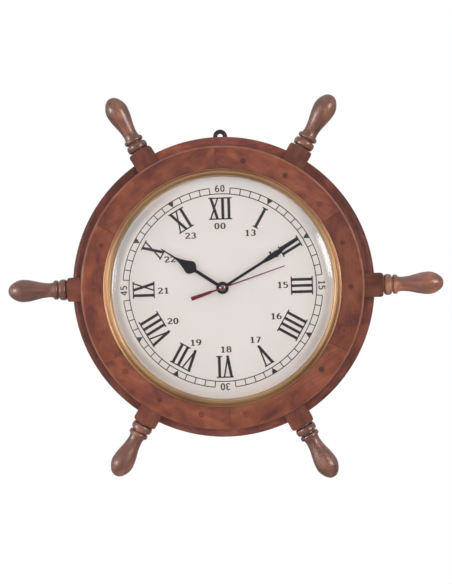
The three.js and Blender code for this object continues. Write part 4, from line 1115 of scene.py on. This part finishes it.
class CLOCK_OT_hands(ClockOperator, bpy.types.Operator):
    """Make the hour, minute and second hands and their cap"""

    bl_idname = "clock.hands"
    bl_label = "Hands"

    def execute(self, context):
        colours = context.scene.clock_colours
        # Nearly black, with a dull sheen
        navy = coated("steel, blue-black lacquer", colours.navy, 0.4, 0.7, 0.1)
        # A deep red that glows a little where it faces the light
        red = coated("aluminium, red lacquer", colours.red, 0.45, 0.7, 0.1, 0.1)
        # A small mirror; its pinkish tint is a painted reflection of the warm room around it
        chrome = coated("brass, nickel plate", linear("#B09094"), 0.2, 0.5, 0.03, 1.0, 0.003)
        sheet, hub, boss = 0.6, 6.3, 4.6
        hour = drop_hand(32.5, 39.3, 57.5, 74.5, 1.7, 6.9)
        minute = drop_hand(49, 65.9, 80, 91.8, 1.35, 2.95)
        for node, outline, body, angle, bore in (
            ("hour_hand", hour, "hour_train", HOUR_ANGLE, 2.9),
            ("minute_hand", minute, "minute_train", MINUTE_ANGLE, 1.9),
        ):
            back, front = depths(node)
            flat = back + sheet
            build = plate([outline, disc(hub)], back, flat, 0.14)
            collar = revolve([(bore, flat - 0.1), (boss, flat - 0.1), (boss, front - 0.1),
                              (boss - 0.2, front), (bore, front)], 48, closed=True)
            build.from_mesh(as_mesh(collar, "collar", 32))
            turn = Matrix.Rotation(-radians(angle), 4, "Z")
            mesh = finish_mesh(build, node, BENCH @ turn)
            show(f"{node}_steel", mesh, navy, body, [node])
        cap, wall, rise = 3.2, 0.5, 1.1
        back, front = depths("second_hand")
        flat = front - wall - rise
        needle = hand_outline([(-10.7, 0.9), (0, 0.9), (3.35, 0.7), (67.2, 0.4)])
        tail = hand_outline([(-33.7, 1.9), (-33, 2.0), (-13.4, 1.5), (-10.4, 0.9)])
        turn = Matrix.Rotation(-radians(SECOND_ANGLE), 4, "Z")
        build = plate([needle, tail], flat, flat + sheet, 0.12)
        mesh = finish_mesh(build, "second_hand", BENCH @ turn)
        show("second_hand_blade", mesh, red, "seconds_train", ["second_hand"])
        dome = [(0, back), (2.0, back), (cap - 0.1, flat - 0.1), (cap, flat + wall)]
        dome += [(cap * cos(t), flat + wall + rise * sin(t))
                 for t in [pi / 2 * k / 8 for k in range(1, 8)]] + [(0, front)]
        cap_mesh = finish_mesh(revolve(dome, 48), "cap")
        show("second_hand_cap", cap_mesh, chrome, "seconds_train")
        return {"FINISHED"}


class CLOCK_OT_hanger(ClockOperator, bpy.types.Operator):
    """Make the hanging eye and its screws"""

    bl_idname = "clock.hanger"
    bl_label = "Hanging Eye"

    def execute(self, context):
        # Dark, with a brown shine on its edges
        dark = coated("steel, bronze-black finish", linear("#43353A"), 0.42, 0.7, 0.3, 0.6)
        for node in ("hanger_plate", "hanger_screw_1", "hanger_screw_2"):
            show(f"{node}_steel", softened(node, 0.25), dark, stands_for=[node])
        return {"FINISHED"}


class CLOCK_OT_movement(ClockOperator, bpy.types.Operator):
    """Finish the quartz movement behind the dial"""

    bl_idname = "clock.movement"
    bl_label = "Movement"

    def execute(self, context):
        # Dull and finely pitted
        black = coated("ABS, moulded black", linear("#1E1E20"), 0.55, 0.5, 0.15, 0.0, 0.05)
        # Milky and waxy
        white = coated("acetal, moulded white", linear("#E4E2DA"), 0.4, 0.5, 0.03)
        # Yellow, with rings from the lathe
        brass = turned_brass("brass, turned", linear("#D0A860"), linear("#A88448"), 0.3)
        # Bright and cold
        nickel = coated("steel, nickel plate", linear("#BEBDB8"), 0.25, 0.4, 0.05, 1.0, 0.005)
        # Grey with a soft shine
        steel = coated("silicon steel, punched", linear("#77787C"), 0.42, 0.6, 0.08, 1.0)
        # Reddish, with a fine ribbing of turns
        winding = coated("copper wire, enamelled", linear("#A8643A"), 0.4, 0.25, 0.2, 0.8, 0.1)
        # Green and a little glossy
        laminate = coated("glass-epoxy laminate, green", linear("#2F5A38"), 0.45, 0.9, 0.1)
        # Dark grey and grainy
        magnet = coated("ferrite, sintered", linear("#3A3A3C"), 0.6, 0.4, 0.1, 0.3, 0.05)
        # Smooth and shiny
        sleeve = coated("battery sleeve, shrunk film", linear("#3A4A5E"), 0.3, 0.9, 0.06, 0.2)
        for names, material, slot in (
            ("movement_housing movement_cover setting_knob", black, "black_plastic"),
            ("stem_nut", brass, "plain_brass"), ("battery", sleeve, "battery_jacket"),
        ):
            for node in names.split():
                body = "knob_body" if node == "setting_knob" else CASE
                show(f"{node}_shell", softened(node, 0.2), material, body, [node])
        for names, material in (
            ("seconds_wheel third_wheel intermediate_wheel motion_wheel hour_wheel", white),
            ("centre_wheel stem_washer", brass), ("contact_minus contact_plus", nickel),
            ("stator", steel), ("coil", winding), ("circuit_board", laminate), ("rotor", magnet),
        ):
            for name in names.split():
                paint(name, material)
        return {"FINISHED"}


class CLOCK_OT_stage(ClockOperator, bpy.types.Operator):
    """Make the camera, the lights, the floor and the white surroundings"""

    bl_idname = "clock.stage"
    bl_label = "Stage"

    def execute(self, context):
        scene = context.scene
        scene.view_settings.view_transform = "Standard"
        # Half-way through the wheel's depth
        middle = HUB + Vector((0, -24 * MM, 0))
        turn, rise, tilt, distance = radians(1.6), radians(1.2), -0.73, 1.3
        picture_height, pixel, sensor = 584, 1.033 * MM, 36
        away = Vector((sin(turn) * cos(rise), -cos(turn) * cos(rise), sin(rise)))
        eye = middle + away * distance
        # The wheel stands a little left of and above the middle of the picture
        target = middle + Vector((3.1 * MM, 0, -4.65 * MM))
        lens = bpy.data.cameras.new("camera")
        lens.sensor_width = sensor
        lens.lens = sensor * distance / (picture_height * pixel)
        roll = Matrix.Rotation(radians(tilt), 4, "Z").to_quaternion()
        scene.camera = self.aimed("camera", lens, eye, target, "Y", roll)
        for name, place, size, power in (
            ("front softbox", (0.05, -1.8, 0.12), (0.6, 0.5), 17),
            ("left softbox", (-1.46, -1.09, 0.1), (0.9, 0.6), 4.8),
            ("right softbox", (1.28, -1.1, 0.4), (0.9, 0.6), 4.6),
            ("back softbox", (-0.5, 1.7, 0.6), (1.1, 0.8), 16),
        ):
            lamp = bpy.data.lights.new(name, "AREA")
            lamp.shape = "RECTANGLE"
            lamp.size, lamp.size_y = size
            lamp.energy = power
            holder = self.aimed(name, lamp, middle + Vector(place), middle, "Z")
            # Gloss mirrors the soft patches of the world instead of the lamps
            holder.visible_glossy = False
        self.world(scene)
        self.floor()
        return {"FINISHED"}

    def aimed(self, name, data, place, target, up, roll=None):
        """A camera or lamp at a place, turned towards a target."""
        holder = put(name, data)
        holder.location = place
        holder.rotation_mode = "QUATERNION"
        aim = (target - place).to_track_quat("-Z", up)
        holder.rotation_quaternion = aim @ roll if roll else aim
        return holder

    def world(self, scene):
        """White where it is seen, a soft fill, and a dim room with two windows for the gloss."""
        world = bpy.data.worlds.new("studio")
        world.use_nodes = True
        world.node_tree.nodes.clear()
        add = partial(add_node, world.node_tree)
        path = add("LightPath", out=None).outputs
        way = add("TexCoord", out="Generated")
        height = add("SeparateXYZ", (way,), out="Z")
        mirrored = add("MapRange", (height, -0.5, 0.9, 0.3, 0.62))
        # Degrees off the view axis, degrees round it from the right, where each patch starts to
        # fade and where it ends, and its level
        for off, round_axis, full, zero, bright in (
            (50, 16, 7.5, 11, 11.0), (60, 174.5, 7, 11, 11.0), (36, 2, 8, 25, 0.5),
            (38, 182, 12, 28, 0.7), (80, 182, 18, 36, 0.6), (0, 0, 10, 28, -0.26),
            (82, 90, 14, 42, 0.15), (82, 270, 14, 42, 0.15),
        ):
            off, round_axis, full, zero = map(radians, (off, round_axis, full, zero))
            centre = sin(off) * cos(round_axis), -cos(off), sin(off) * sin(round_axis)
            near = add("VectorMath", (way, centre), out="Value", operation="DOT_PRODUCT")
            patch = add("MapRange", (near, cos(zero), cos(full), 0.0, bright), **SMOOTH)
            mirrored = add("Math", (mirrored, patch))
        rays = path["Is Glossy Ray"], path["Is Transmission Ray"]
        seen = add("Math", rays, operation="MAXIMUM")
        level = add("Mix", {0: seen, 2: 0.22, 3: mirrored})
        strength = add("Mix", {0: path["Is Camera Ray"], 2: level, 3: 1.0})
        light = add("Background", {"Color": grey(1.0), "Strength": strength})
        add("OutputWorld", (light,))
        scene.world = world

    def floor(self):
        """A pale floor under the clock that keeps its shadow."""
        mesh = bpy.data.meshes.new("floor")
        drop = CAD_BOX[0].z - 0.3
        corners = [(x, y, drop) for x, y in box(-1.5, 1.5, -2.6, 0.4)]
        mesh.from_pydata(corners, [], [(0, 1, 2, 3)])
        floor = put("floor", mesh)
        floor.visible_glossy = False
        # White, flat and nearly even
        material, add = new_material("paper, matt white")
        place = add("TexCoord", out="Object")
        fibres = add("TexNoise", {"Vector": place, "Scale": 40.0, "Detail": 2.0})
        tone = add("ValToRGB", (fibres,), [(0.3, grey(0.88)), (0.7, grey(0.9))])
        shader = add("BsdfPrincipled", {"Base Color": tone, "Roughness": 0.9})
        path = add("LightPath", out="Is Camera Ray")
        share = add("Math", (path, 0.75), operation="MULTIPLY")
        white = add("Emission", {"Color": grey(1.0), "Strength": 1.0})
        mixed = add("MixShader", (share, shader, white))
        add("OutputMaterial", (mixed,))
        mesh.materials.append(material)


class CLOCK_PT_panel(bpy.types.Panel):
    """Lists the clock's pieces and sizes"""

    bl_idname = "CLOCK_PT_panel"
    bl_label = "Ship Wheel Clock"
    bl_space_type = "VIEW_3D"
    bl_region_type = "UI"
    bl_category = "Wheel Clock"

    def draw(self, context):
        column = self.layout.column()
        for operator in OPERATORS:
            column.operator(operator.bl_idname)
        for name in GROUPS:
            group = getattr(context.scene, name)
            for key in group.__annotations__:
                column.prop(group, key)


OPERATORS = (
    CLOCK_OT_stage, CLOCK_OT_rear_ring, CLOCK_OT_front_ring, CLOCK_OT_plugs, CLOCK_OT_spokes,
    CLOCK_OT_bezel, CLOCK_OT_dial, CLOCK_OT_hands, CLOCK_OT_hanger, CLOCK_OT_movement,
)
GROUPS = {
    "wheel_sizes": WheelSizes, "handle_sizes": HandleSizes, "dial_sizes": DialSizes,
    "clock_colours": ClockColours,
}


def register():
    for group in GROUPS.values():
        bpy.utils.register_class(group)
    for name, group in GROUPS.items():
        setattr(bpy.types.Scene, name, bpy.props.PointerProperty(type=group))
    for item in (*OPERATORS, CLOCK_PT_panel):
        bpy.utils.register_class(item)


def unregister():
    for item in (CLOCK_PT_panel, *reversed(OPERATORS)):
        bpy.utils.unregister_class(item)
    for name, group in GROUPS.items():
        delattr(bpy.types.Scene, name)
        bpy.utils.unregister_class(group)


def main():
    register()
    for operator in OPERATORS:
        group, name = operator.bl_idname.split(".")
        getattr(getattr(bpy.ops, group), name)()


if __name__ == "__main__":
    main()
